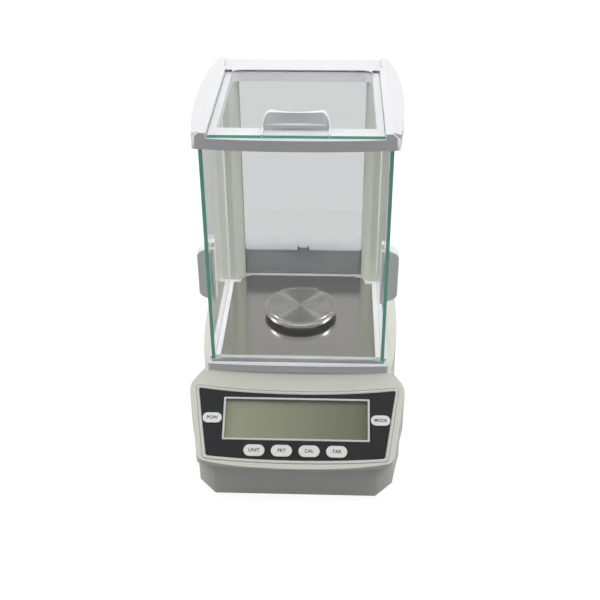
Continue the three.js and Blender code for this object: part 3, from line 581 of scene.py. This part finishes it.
def turned(profile, x, y, sides=48):
    """A form turned about an upright axis; the profile is (radius, height) pairs in mm."""
    form = bmesh.new()
    rings = []
    for radius, height in profile:
        if radius < 0.001:
            rings.append([form.verts.new(Vector((x, y, height)) * mm)])
            continue
        turns = [2 * math.pi * i / sides for i in range(sides)]
        points = [Vector((x + radius * math.cos(a), y + radius * math.sin(a), height)) for a in turns]
        rings.append([form.verts.new(point * mm) for point in points])
    for low, high in zip(rings, rings[1:]):
        for i in range(sides):
            j = (i + 1) % sides
            corners = [low[i % len(low)], low[j % len(low)], high[j % len(high)], high[i % len(high)]]
            form.faces.new(list(dict.fromkeys(corners)))
    bmesh.ops.recalc_face_normals(form, faces=form.faces)
    return form


rubber = plastic("rubber", (0.02, 0.02, 0.021), 0.75, 900, 0.5, wear=0.1, gloss=0.3)
black_plastic = plastic("black_plastic", (0.018, 0.018, 0.019), 0.42, 1600, 0.25, wear=0.15)
for side, (x, y) in zip(("left", "right"), foot_places[:2]):
    top = tray_low.z - 0.3
    foot = shape(f"rubber_foot_{side}", turned([
        (0, 0.4), (6.5, 0.4), (7, 0), (9, 0), (9.8, 0.7), (10, 1.6), (9.4, top - 0.6), (8.8, top), (3, top),
        (3, top + 5), (3.6, top + 5.2), (2.2, top + 6), (0, top + 6)], x, y))
    dress(foot, rubber, f"front_foot_{side}")
knurls = 48
thread_pitch = 1.25
for side, (x, y) in zip(("left", "right"), foot_places[2:]):
    pad_top = box_of(f"levelling_pad_{side}")[1].z
    pad = shape(f"foot_pad_{side}", turned([
        (0, 0), (9.6, 0), (10.3, 0.3), (10.5, 0.8),
        (10.2, pad_top - 0.4), (9.8, pad_top), (0, pad_top)], x, y))
    dress(pad, rubber, f"levelling_pad_{side}")
    wheel_low, wheel_high = box_of(f"levelling_screw_{side}")
    rim = []
    for i in range(2 * knurls):
        radius = 12.3 if i % 2 else 13
        turn = math.pi * i / knurls
        rim.append((x + radius * math.cos(turn), y + radius * math.sin(turn)))
    inner = [(x + (px - x) * 0.93, y + (py - y) * 0.93) for px, py in rim]
    wheel_top = tray_low.z - 1
    wheel = shape(f"levelling_wheel_{side}", loft(
        at_height(inner, wheel_low.z), at_height(rim, wheel_low.z + 0.5),
        at_height(rim, wheel_top - 0.5), at_height(inner, wheel_top)))
    thread = [(0, wheel_top - 0.5), (3.3, wheel_top - 0.5)]
    height = wheel_top + 0.4
    while height < wheel_high.z - 1.2:
        thread += [(3.3, height), (4.0, height + 0.62)]
        height += thread_pitch
    thread += [(3.2, wheel_high.z - 0.8), (2.8, wheel_high.z), (0, wheel_high.z)]
    cut_away(wheel, turned(thread, x, y, 24), operation="UNION")
    dress(wheel, black_plastic, f"levelling_screw_{side}", sharp=25)

# -------- screws
# Zinc-plated pan-head screws with cross recesses: four from below through the two housings, and
# four that hold the shield base to the deck, under the steel floor.


def metal(name, colour, roughness, scratches, wear=0.3):
    """Bare or plated metal with a fine random scratch pattern."""
    shade = tuple(c * 0.88 for c in colour)
    light = tuple(min(1.0, c * 1.2) for c in colour)
    material, tree, shader, grain = grained(name, colour, shade, light, scratches, wear)
    tree.links.new(ranged(tree, grain.outputs["Height"], roughness - 0.07, roughness + 0.07),
                   shader.inputs["Roughness"])
    place_bump(tree, shader, grain.outputs["Height"], 0.12, 0.0001)
    shader.inputs["Metallic"].default_value = 1.0
    return material


plated_steel = metal("plated_steel", (0.62, 0.62, 0.6), 0.3, 900)


def screw(name, node, head_low, head_high, drive_up):
    """A cross-recess screw along Z; the recess opens upwards or downwards."""
    low, high = box_of(node)
    x, y = middle_of(node)
    if drive_up:
        outline = [(0, low.z), (1.0, low.z), (1.5, low.z + 1), (1.5, head_low), (3, head_low),
                   (3, head_high - 0.6), (2.3, head_high), (0, head_high)]
        slot_z = (head_high - 0.9, head_high + 1)
    else:
        outline = [(0, head_low), (2.3, head_low), (3, head_low + 0.5), (3, head_high), (1.5, head_high),
                   (1.5, high.z - 1), (1.0, high.z), (0, high.z)]
        slot_z = (head_low - 1, head_low + 0.9)
    piece = shape(name, turned(outline, x, y, 24))
    cut_away(piece, brick((x - 1.5, x + 1.5), (y - 0.35, y + 0.35), slot_z))
    cut_away(piece, brick((x - 0.35, x + 0.35), (y - 1.5, y + 1.5), slot_z))
    dress(piece, plated_steel, node)


for number in range(1, 5):
    low, high = box_of(f"housing_screw_{number}")
    screw(f"tray_screw_{number}", f"housing_screw_{number}", low.z, low.z + 1.6, False)
    low, high = box_of(f"shield_screw_{number}")
    screw(f"deck_screw_{number}", f"shield_screw_{number}", high.z - 2, high.z, True)

# -------- weighing cell
# A machined aluminium parallel guide on a cast base plate, with the steel pot of its magnet
# behind it and a turned post in front that carries the pan.


def refined(node, radius, segments=2, least_angle=28):
    """A CAD node's shape with its flat faces cleaned and its edges rounded, radius in mm."""
    form = bmesh.new()
    form.from_mesh(frame["nodes"][node].data)
    bmesh.ops.remove_doubles(form, verts=form.verts, dist=2e-6)
    bmesh.ops.dissolve_limit(form, angle_limit=math.radians(0.8), verts=form.verts, edges=form.edges)
    return round_edges(form, radius, segments, least_angle)


cast_aluminium = metal("cast_aluminium", (0.66, 0.67, 0.68), 0.42, 500)
brushed_post = metal("turned_steel", (0.58, 0.57, 0.55), 0.26, 1400)
for name, node, finish, radius in (
        ("cell_plate", "cell_base", cast_aluminium, 0.6),
        ("parallel_guide", "cell_block", cast_aluminium, 0.3),
        ("magnet_pot", "cell_magnet", plated_steel, 1.0),
        ("carrier_post", "pan_post", brushed_post, 0.4),
        ("pan_spider", "pan_carrier", cast_aluminium, 0.4)):
    dress(shape(name, refined(node, radius)), finish, node)

# -------- boards, ribbon and lead
# The control board stands on the tray and the key board hangs under the slope, both green glass-
# epoxy. A flat cable joins them, and a thin black lead brings power from the socket.
circuit_board, board_tree, board_shader = new_finish("circuit_board")
tracks = wired(board_tree, "TexBrick", {
    "Vector": wired(board_tree, "TexCoord").outputs["Object"], "Scale": 90.0, "Mortar Size": 0.06,
    "Color1": (0.012, 0.13, 0.06, 1), "Color2": (0.016, 0.16, 0.075, 1), "Mortar": (0.03, 0.24, 0.12, 1)})
board_tree.links.new(tracks.outputs["Color"], board_shader.inputs["Base Color"])
board_shader.inputs["Roughness"].default_value = 0.3
ribbon_plastic = plastic("ribbon_plastic", (0.52, 0.52, 0.5), 0.45, 700, 0.2)
for name, node, finish, radius in (
        ("control_board", "main_board", circuit_board, 0.2),
        ("switch_board", "key_board", circuit_board, 0.2),
        ("flat_cable", "display_ribbon", ribbon_plastic, 0.15),
        ("supply_lead", "power_lead", black_plastic, 0)):
    form = refined(node, radius) if radius else refined(node, 0.01, 1, 170)
    dress(shape(name, form), finish, node, sharp=50)

# -------- sockets on the back
# A round low-voltage power inlet in black nylon with its centre pin, and a nine-way connector with
# a tin-plated shell and two rows of pin holes.
inlet_middle = ((socket_low.x + socket_high.x) / 2, (socket_low.z + socket_high.z) / 2)
inlet = shape("power_inlet", round_edges(brick(
    (socket_low.x, socket_high.x), (socket_low.y, socket_high.y), (socket_low.z, socket_high.z)), 0.6))


def drum_back(x, z, radius, low, high, sides=32):
    """A round bar that points out of the back, in mm."""
    form = drum(0, 0, radius, low, high, sides)
    place = Matrix.Translation(Vector((x, 0, z)) * mm) @ Matrix.Rotation(math.radians(-90), 4, "X")
    bmesh.ops.transform(form, matrix=place, verts=form.verts)
    return form


cut_away(inlet, drum_back(*inlet_middle, 3.3, socket_high.y - 9.5, socket_high.y + 2))
cut_away(inlet, drum_back(*inlet_middle, 1.0, socket_high.y - 10.5, socket_high.y - 1.5, 16),
         operation="UNION")
dress(inlet, black_plastic, "power_socket")
connector = shape("nine_way_shell", refined("serial_port", 0.4))
serial_middle = (serial_low.z + serial_high.z) / 2
pin_holes = [drum_back(x, serial_middle + z, 0.55, serial_high.y - 3, serial_high.y + 1, 12)
             for z, xs in ((1.5, (-5.5, -2.75, 0, 2.75, 5.5)), (-1.3, (-4.1, -1.4, 1.4, 4.1))) for x in xs]
jack_holes = [drum_back(x, serial_middle, 1.4, serial_high.y - 3, serial_high.y + 1, 16)
              for x in (-12.4, 12.4)]
cut_away(connector, *pin_holes, *jack_holes)
dress(connector, plated_steel, "serial_port")

# -------- display panel
# A dark polycarbonate overlay in the console's seat, inside an ivory bead with a bright inner line.
# The liquid-crystal module looks out through a clear window in a silver frame. Its face carries a
# painted reflection: lighter at its left end, darker towards its right.
panel_top = panel_seat + 0.3 + 1.2
charcoal_film = plastic("charcoal_film", (0.034, 0.034, 0.036), 0.36, 2500, 0.12, wear=0.05, gloss=0.15)
silver_paint = plastic("silver_paint", (0.72, 0.73, 0.71), 0.3, 2500, 0.1, wear=0.1)


def above_slope(edge):
    """Whether an edge lies wholly over the slope's face."""
    return all((on_slope.inverted() @ vert.co).z > 0 for vert in edge.verts)


bead = shape("panel_bead", round_edges(
    tilted(prism(panel_outline(3.5), panel_seat + 0.3, 0.4)), 1.1, 4, chosen=above_slope))
cut_away(bead, tilted(prism(panel_outline(1.0), panel_seat - 2, 6)))
dress(bead, ivory_plastic, "panel_trim")
line = shape("panel_line", tilted(prism(panel_outline(0.9), panel_seat + 0.3, 0.2)))
cut_away(line, tilted(prism(panel_outline(0.25), panel_seat - 2, 6)))
dress(line, silver_paint, "panel_trim")
overlay = shape("dark_overlay", tilted(prism(panel_outline(0), panel_seat + 0.3, panel_top)))
cut_away(overlay, through_slope(grown(window_low, window_high, 0.3, 1.5)), *key_holes())
dress(overlay, charcoal_film, "display_panel")
lcd_frame = shape("window_frame", round_edges(tilted(prism(
    grown(window_low, window_high, 0, 1), panel_seat + 0.3, 0.6)), 0.5))
cut_away(lcd_frame, through_slope(grown(window_low, window_high, -2, 0.5)))
dress(lcd_frame, silver_paint, "lcd_frame")


def clear_glass(name, tint, shade, index):
    """Clear glass: tint is what one pane passes to the eye, shade what each face passes to lamps."""
    material, tree, shader = new_finish(name)
    set_values(shader, Base_Color=(*tint, 1), Transmission_Weight=1.0, Roughness=0.0, IOR=index)
    lamp_ray = wired(tree, "LightPath").outputs["Is Shadow Ray"]
    opened = wired(tree, "BsdfTransparent", {"Color": (*shade, 1)})
    mix = wired(tree, "MixShader", {0: lamp_ray, 1: shader.outputs[0], 2: opened.outputs[0]})
    tree.links.new(mix.outputs[0], tree.nodes["Material Output"].inputs["Surface"])
    return material


clear_window = clear_glass("clear_window", (0.96, 0.97, 0.95), (1, 1, 1), 1.49)
dress(shape("display_window", refined("lcd_window", 0.15, 1)), clear_window, "lcd_window")

lcd_face, lcd_tree, lcd_shader = new_finish("lcd_face")
lcd_place = wired(lcd_tree, "TexCoord").outputs["Object"]
lcd_axes = wired(lcd_tree, "SeparateXYZ", {0: lcd_place})
# Painted reflection: the face fades from a lighter, mottled colour at its left end to a dark colour at its
# right.
lcd_painted_reflection_fade = wired(lcd_tree, "MapRange", {
    "Value": lcd_axes.outputs["X"], "From Min": window_low[0] * mm, "From Max": window_high[0] * mm})
lcd_cells = wired(lcd_tree, "TexNoise", {"Scale": 9.0, "Vector": lcd_place})
lcd_mottle_and_painted_reflection = blended(lcd_tree, lcd_cells.outputs["Fac"], (0.35, 0.365, 0.262), (0.39, 0.405, 0.3))
lcd_tree.links.new(blended(lcd_tree, lcd_painted_reflection_fade.outputs[0], lcd_mottle_and_painted_reflection, (0.172, 0.18, 0.118)),
                   lcd_shader.inputs["Base Color"])
lcd_tree.links.new(ranged(lcd_tree, lcd_cells.outputs["Fac"], 0.3, 0.4), lcd_shader.inputs["Roughness"])
lcd_shader.inputs["Specular IOR Level"].default_value = 0.2
dress(shape("crystal_module", refined("lcd_module", 0.4)), lcd_face, "lcd_module")

# -------- keys
# Six pearl-grey keys with rounded rims and printed legends, each on a stem over its own switch:
# power and mode beside the display, and unit, print, calibrate and tare below it.
key_plastic = plastic("key_plastic", (0.88, 0.89, 0.86), 0.34, 2200, 0.1, wear=0.25)
legend_ink = plastic("legend_ink", (0.03, 0.03, 0.032), 0.5, 2500, 0.05, wear=0.0)
legends = dict(zip(key_names, ("POW", "MODE", "UNIT", "PRT", "CAL", "TAR")))
flange_top = -shell_wall - 0.3
for name, (x, y, width, height, top) in key_places.items():
    cap = round_edges(tilted(prism(stadium(x, y, width, height), flange_top - 0.2, top)), 0.9, 4,
                      chosen=above_slope)
    piece = shape(f"{name}_key", cap)
    cut_away(piece, tilted(prism(stadium(x, y, width + 1.6, height + 1.6), flange_top - 1.2, flange_top)),
             tilted(drum(x, y, 1.6, slope_place("key_" + name)[0][2], flange_top - 1, 16)), operation="UNION")
    dress(piece, key_plastic, "key_" + name)
    letters = bpy.data.curves.new(f"{name}_legend", "FONT")
    letters.body = legends[name]
    letters.size = (5.0 if len(legends[name]) < 4 or height > 11.5 else 4.6) * mm
    letters.offset = 0.1 * mm
    letters.align_x = "CENTER"
    letters.align_y = "CENTER"
    letters.extrude = 0.02 * mm
    drawn = bpy.data.objects.new("letters", letters)
    bpy.context.scene.collection.objects.link(drawn)
    bpy.context.view_layer.update()
    ink = bpy.data.meshes.new_from_object(drawn.evaluated_get(bpy.context.evaluated_depsgraph_get()))
    bpy.data.objects.remove(drawn)
    ink.transform(on_slope @ Matrix.Translation(Vector((x, y, top + 0.03)) * mm))
    ink.materials.clear()
    ink.materials.append(legend_ink)
    legend = bpy.data.objects.new(f"{name}_legend", ink)
    bpy.context.scene.collection.objects.link(legend)
    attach(legend, "key_" + name)

# -------- shield base and steel floor
# The white frame that the draft shield stands on, with the tracks of the side doors moulded in
# beside the chamber, and the brushed stainless floor that drops into it round the pan.


def brushing_group():
    """Belt-brushed metal: long fine lines along one axis, as height and as a streak of gloss."""
    tree = bpy.data.node_groups.new("Brushing", "ShaderNodeTree")
    socket(tree, "Stretch", "INPUT", "NodeSocketVector", (40.0, 2600.0, 2600.0))
    socket(tree, "Height", "OUTPUT", "NodeSocketFloat")
    socket(tree, "Streak", "OUTPUT", "NodeSocketFloat")
    start = tree.nodes.new("NodeGroupInput")
    end = tree.nodes.new("NodeGroupOutput")
    place = wired(tree, "TexCoord").outputs["Object"]
    stretched = wired(tree, "VectorMath", {0: place, 1: start.outputs["Stretch"]}, operation="MULTIPLY")
    lines = wired(tree, "TexNoise", {"Scale": 1.0, "Detail": 3.0, "Vector": stretched.outputs[0]})
    bands = wired(tree, "TexNoise", {"Scale": 0.5, "Detail": 2.0, "Vector": stretched.outputs[0]})
    tree.links.new(lines.outputs["Fac"], end.inputs["Height"])
    tree.links.new(bands.outputs["Fac"], end.inputs["Streak"])
    return tree


brushing = brushing_group()
white_plastic = plastic("white_plastic", (0.8, 0.8, 0.815), 0.38, 1800, 0.12)
shield_frame = shape("shield_frame", refined("shield_base", 0.7, 2))
# a sloping sill fills the gap between the front pane and the steel floor
pane_back = box_of("front_glass")[1].y
steel_high = box_of("floor_plate")[1]
sill = prism([(pane_back + 0.35, steel_high.z - 3.7), (pane_back + 3.5, steel_high.z - 3.7),
              (pane_back + 3.5, steel_high.z - 0.15), (pane_back + 0.35, steel_high.z - 1.4)],
             0.5 - steel_high.x, steel_high.x - 0.5)
bmesh.ops.transform(sill, matrix=Matrix(((0, 0, 1, 0), (1, 0, 0, 0), (0, 1, 0, 0), (0, 0, 0, 1))),
                    verts=sill.verts)
cut_away(shield_frame, sill, operation="UNION")
dress(shield_frame, white_plastic, "shield_base")

floor_steel, steel_tree, steel_shader = new_finish("brushed_steel")
brushed = wired(steel_tree, "Group", node_tree=brushing)
streak = brushed.outputs["Streak"]
steel_tree.links.new(blended(steel_tree, streak, (0.55, 0.535, 0.5), (0.59, 0.575, 0.54)),
                     steel_shader.inputs["Base Color"])
steel_tree.links.new(ranged(steel_tree, streak, 0.15, 0.19), steel_shader.inputs["Roughness"])
place_bump(steel_tree, steel_shader, brushed.outputs["Height"], 0.05, 0.00005)
set_values(steel_shader, Metallic=1.0, Anisotropic=0.4)
dress(shape("steel_floor", refined("floor_plate", 0.3, 2)), floor_steel, "floor_plate")

# -------- weighing pan
# An 82 mm stainless pan, turned and brushed round its centre, with a polished rim. Its colour
# carries painted highlights, four bright rays in an X, and painted shade in the wedges at front and
# back. It lifts off the spider under it.
pan_low, pan_high = box_of("weighing_pan")
pan_radius = (pan_high.x - pan_low.x) / 2
pan_steel, pan_tree, pan_shader = new_finish("turned_pan")
pan_place = wired(pan_tree, "TexCoord").outputs["Object"]
pan_centre = wired(pan_tree, "VectorMath", {0: pan_place, 1: (0, pan_y * mm, 0)}, operation="SUBTRACT")
flat_place = wired(pan_tree, "VectorMath", {0: pan_centre.outputs[0], 1: (1, 1, 0)}, operation="MULTIPLY")
pan_distance = wired(pan_tree, "VectorMath", {0: flat_place.outputs[0]}, operation="LENGTH")
pan_rings = wired(pan_tree, "TexNoise", {"W": pan_distance.outputs["Value"], "Scale": 2600.0, "Detail": 3.0},
                  noise_dimensions="1D")
# Painted highlight and shade: the colour is brightest along four rays in an X and darkest in the wedges at
# front and back, fixed on the pan.
pan_angle = wired(pan_tree, "TexGradient", {"Vector": pan_centre.outputs[0]}, gradient_type="RADIAL")
pan_painted_rays = wired(pan_tree, "ValToRGB", {"Fac": pan_angle.outputs["Fac"]})
pan_painted_rays.color_ramp.elements[0].color = (0.45, 0.45, 0.45, 1)
pan_painted_rays.color_ramp.elements[1].color = (0.45, 0.45, 0.45, 1)
for half_turn in (0, 0.5):
    for turn, sheen in ((0.1, 0.45), (0.135, 1), (0.17, 0.25), (0.25, 0), (0.33, 0.25), (0.365, 1),
                        (0.4, 0.45)):
        pan_painted_rays.color_ramp.elements.new(half_turn + turn).color = (sheen, sheen, sheen, 1)
pan_painted_shade_tone = blended(pan_tree, pan_rings.outputs["Fac"], (0.3, 0.292, 0.275), (0.36, 0.35, 0.33))
pan_painted_highlight_tone = blended(pan_tree, pan_rings.outputs["Fac"], (0.52, 0.51, 0.485), (0.6, 0.59, 0.565))
pan_tree.links.new(blended(pan_tree, pan_painted_rays.outputs["Color"], pan_painted_shade_tone, pan_painted_highlight_tone),
                   pan_shader.inputs["Base Color"])
pan_tree.links.new(ranged(pan_tree, pan_rings.outputs["Fac"], 0.27, 0.33), pan_shader.inputs["Roughness"])
place_bump(pan_tree, pan_shader, pan_rings.outputs["Fac"], 0.2, 0.00004)
set_values(pan_shader, Metallic=1.0, Anisotropic=0.95)
pan_tangent = wired(pan_tree, "Tangent", direction_type="RADIAL", axis="Z")
pan_tree.links.new(pan_tangent.outputs["Tangent"], pan_shader.inputs["Tangent"])


def mottled(name, scale, dark, light, **values):
    """A finish whose colour drifts between two; gives back its tree, shader and drift as well."""
    material, tree, shader = new_finish(name)
    place = wired(tree, "TexCoord").outputs["Object"]
    drift = wired(tree, "TexNoise", {"Scale": scale, "Vector": place}).outputs["Fac"]
    tree.links.new(blended(tree, drift, dark, light), shader.inputs["Base Color"])
    set_values(shader, **values)
    return material, tree, shader, drift


pan_rim, rim_tree, rim_shader, rim_haze = mottled(
    "polished_rim", 60.0, (0.56, 0.54, 0.5), (0.64, 0.62, 0.58), Metallic=1.0)
rim_tree.links.new(ranged(rim_tree, rim_haze, 0.2, 0.3), rim_shader.inputs["Roughness"])
pan_form = turned([
    (0, pan_low.z + 3.2), (pan_radius - 3.4, pan_low.z + 3.2), (pan_radius - 2.8, pan_low.z + 2.6),
    (pan_radius - 2, pan_low.z + 0.2), (pan_radius - 1.7, pan_low.z), (pan_radius - 0.8, pan_low.z),
    (pan_radius - 0.2, pan_low.z + 0.4), (pan_radius, pan_low.z + 1.0), (pan_radius, pan_high.z - 1.6),
    (pan_radius - 0.2, pan_high.z - 1.0), (pan_radius - 0.8, pan_high.z - 0.7),
    (pan_radius - 4.2, pan_high.z - 0.3), (pan_radius - 4.5, pan_high.z - 0.5),
    (pan_radius - 4.8, pan_high.z - 0.1), (pan_radius - 5.2, pan_high.z), (0, pan_high.z)], 0, 0, 128)
for face in pan_form.faces:
    face.material_index = 1 if face.calc_center_median().xy.length > (pan_radius - 5) * mm else 0
pan = shape("round_pan", pan_form)
pan.data.transform(Matrix.Translation((0, pan_y * mm, 0)))
pan.data.materials.append(pan_steel)
pan.data.materials.append(pan_rim)
dress(pan, pan_steel, "weighing_pan", sharp=20)

# -------- rear of the draft shield
# Two ivory columns grip the rear pane, a grey band and a white cover close the space behind it,
# and a small clip holds the pane. A bull's-eye spirit level sits in the cover's left end.
for side in ("left", "right"):
    dress(shape(f"corner_column_{side}", refined(f"rear_column_{side}", 1.0, 3)), ivory_plastic,
          f"rear_column_{side}")
band_grey = plastic("band_grey", (0.8, 0.81, 0.83), 0.3, 1800, 0.1)
band_low, band_high = box_of("rear_panel")
band = shape("grey_band", refined("rear_panel", 0.3))
groove_y = (band_low.y - 1, band_low.y + 0.7)
groove_lines = []
for z in (band_low.z + 2.2, band_high.z - 2.4):
    groove_lines.append(brick((band_low.x + 2.2, band_high.x - 2.2), groove_y, (z, z + 0.8)))
for x in (band_low.x + 2.2, band_high.x - 3.0):
    groove_lines.append(brick((x, x + 0.8), groove_y, (band_low.z + 3.1, band_high.z - 2.5)))
cut_away(band, *groove_lines)
dress(band, band_grey, "rear_panel")
cover = shape("back_cover", refined("rear_cover", 1.2, 3))
cover_low, cover_high = box_of("rear_cover")
clip_low, clip_high = box_of("rear_glass_clip")
clip_notches = [brick((x - 1.1, x + 1.1), (cover_low.y - 1, clip_high.y + 1),
                      (cover_high.z - 0.9, cover_high.z + 2)) for x in (clip_low.x + 0.6, clip_high.x - 0.6)]
lid_lines = [brick((x - 0.3, x + 0.3), (cover_low.y + 6, cover_high.y - 2),
                   (cover_high.z - 0.6, cover_high.z + 2)) for x in (cover_low.x + 17, cover_high.x - 17)]
cut_away(cover, *clip_notches, *lid_lines)
dress(cover, white_plastic, "rear_cover")
jaw_width = 1.5
clip_sides = ((clip_low.y, clip_high.y), (clip_low.z, clip_high.z))
clip_form = brick((clip_low.x + jaw_width + 0.3, clip_high.x - jaw_width - 0.3), *clip_sides)
dress(shape("pane_clip", round_edges(clip_form, 0.5)), white_plastic, "rear_glass_clip")
for side, edge in (("left", clip_low.x), ("right", clip_high.x - jaw_width)):
    jaw = brick((edge, edge + jaw_width), *clip_sides)
    dress(shape(f"clip_jaw_{side}", round_edges(jaw, 0.2, 1)), black_plastic, "rear_glass_clip")
dress(shape("level_case", refined("level_body", 0.2)), black_plastic, "level_body")
level_liquid = mottled("level_liquid", 120.0, (0.5, 0.7, 0.1), (0.62, 0.78, 0.16),
                       Roughness=0.05, Transmission_Weight=0.6)[0]
dress(shape("level_glass", refined("level_vial", 0.15)), level_liquid, "level_vial")

# -------- top frame
# The white frame that ties the panes together: two broad side rails that fall away outwards, a
# front crossbar, and a rear bar with rounded corners that screws in between the rails. The bar's
# upper lip overhangs the slot that the top pane slides into.


def upright(outline, front, rear):
    """A form from its front view, as points across and up, as deep as from front to rear."""
    form = prism(outline, -rear, -front)
    bmesh.ops.transform(form, matrix=Matrix.Rotation(math.radians(90), 4, "X"), verts=form.verts)
    return form


rails = shape("top_rails", refined("top_frame", 1.1, 3))
rails_low, rails_high = box_of("top_frame")
chamfer_depth = 9
for side in (-1, 1):
    chamfer = [(side * 88.5, rails_high.z + 0.4), (side * 101, rails_high.z - 11),
               (side * 101, rails_high.z + 4)]
    cut_away(rails, upright(chamfer[::side], rails_low.y - 5, rails_low.y + chamfer_depth))
dress(rails, white_plastic, "top_frame")
bar_low, bar_high = box_of("top_rear_bar")
bar_form = refined("top_rear_bar", 0.8, 3)
slot_high = box_of("top_door_glass")[1].z + 0.3
lip_drop = 1.3 / (bar_high.z - slot_high)
lip_forward = 3.8
foot_forward = 7.0
face_lean = 4.8
for vert in bar_form.verts:
    if vert.co.y < (bar_low.y + 13) * mm:
        height = (vert.co.z / mm - bar_low.z) / (bar_high.z - bar_low.z)
        above_slot = vert.co.z > slot_high * mm
        vert.co.y -= (lip_forward if above_slot else foot_forward - face_lean * height) * mm
    vert.co.z -= max(0, vert.co.z - slot_high * mm) * lip_drop
dress(shape("rear_crossbar", bar_form), white_plastic, "top_rear_bar")

# -------- panes
# Float glass with ground edges. The faces are clear and the edges show the green of the iron in
# the glass, with a painted glow that lights their green up. The front and rear panes are fixed;
# the two side panes and the top pane slide.
pane_clear = clear_glass("pane_glass", (0.965, 0.975, 0.972), (0.985, 0.99, 0.988), 1.5)
pane_grey = clear_glass("grey_tinted_glass", (0.86, 0.865, 0.875), (0.95, 0.95, 0.955), 1.5)

# Painted light: the green edges glow a little of their own.
glowing_pane_edge, edge_tree, edge_shader, edge_ripple = mottled(
    "glowing_pane_edge", 35.0, (0.07, 0.3, 0.21), (0.13, 0.42, 0.31),
    Emission_Color=(0.1, 0.4, 0.28, 1), Emission_Strength=0.22)
edge_tree.links.new(ranged(edge_tree, edge_ripple, 0.1, 0.2), edge_shader.inputs["Roughness"])


def pane(name, node, glass, *green_sides):
    """A pane from its CAD box: polished faces, and green edges with a painted glow on the sides that show."""
    low, high = box_of(node)
    form = round_edges(brick((low.x, high.x), (low.y, high.y), (low.z, high.z)), 0.35, 1)
    for face in form.faces:
        green = any(face.normal.dot(Vector(side)) > 0.5 for side in green_sides)
        face.material_index = 1 if green else 0
    piece = shape(name, form)
    piece.data.materials.append(glass)
    piece.data.materials.append(glowing_pane_edge)
    dress(piece, glass, node, sharp=10)


pane("front_pane", "front_glass", pane_clear, (1, 0, 0), (-1, 0, 0))
pane("rear_pane", "rear_glass", pane_grey, (0, 0, 1))
pane("left_sliding_pane", "side_door_glass_left", pane_clear, (0, -1, 0), (0, 1, 0))
pane("right_sliding_pane", "side_door_glass_right", pane_clear, (0, -1, 0), (0, 1, 0))
pane("top_sliding_pane", "top_door_glass", pane_clear, (0, -1, 0))

# -------- door pulls
# White plastic pulls clipped through the side panes, deep outside and thin inside, and an arched
# pull on the top pane with a scooped front and two arms hooked over the pane's edge. Their white is
# lighter than the frame's: painted light for faces that lie in shade.
# Painted light: a lighter white than the frame's, to brighten the pulls' shaded faces.
brightened_pull_plastic = plastic("brightened_pull_plastic", (0.93, 0.93, 0.94), 0.4, 1800, 0.12)
for side in ("left", "right"):
    for place, radius, segments in (("outer", 1.2, 3), ("inner", 0.6, 2)):
        node = f"door_handle_{place}_{side}"
        dress(shape(f"{place}_pull_{side}", refined(node, radius, segments)), brightened_pull_plastic, node)
pull_low, pull_high = box_of("top_door_handle")
pull_foot = box_of("top_door_glass")[1].z + 0.3
pull_rear = pull_high.y
pull_front = pull_rear - 8.5
pull_half = pull_high.x
arch = [(0, pull_foot), (pull_half, pull_foot), (pull_half - 1.4, pull_foot + 6)]
bend(arch, (pull_half - 3.4, pull_high.z - 1.4), (pull_half - 8.5, pull_high.z - 1.8))
bend(arch, (pull_half * 0.4, pull_high.z - 3.8), (0, pull_high.z - 3.8))
pull = shape("arched_pull", round_edges(
    upright(mirrored(arch), pull_front, pull_rear), 0.9, 3,
    chosen=lambda edge: any(vert.co.z > (pull_foot + 0.5) * mm for vert in edge.verts)))
scoop = [(0, pull_front - 2), (pull_half - 4.5, pull_front - 2), (pull_half - 4.5, pull_front + 0.4)]
bend(scoop, (pull_half * 0.5, pull_front + 5.6), (0, pull_front + 5.6))
cut_away(pull, prism(mirrored(scoop), pull_foot + 3.2, pull_high.z + 1))
for side in (-1, 1):
    arm_x = sorted((side * (pull_half - 1.6), side * (pull_half - 0.4)))
    cut_away(pull, brick(arm_x, (pull_low.y, pull_front + 1), (pull_foot, pull_foot + 1.2)),
             brick(arm_x, (pull_low.y, pull_low.y + 1.2), (pull_low.z, pull_foot + 0.5)), operation="UNION")
dress(pull, brightened_pull_plastic, "top_door_handle")
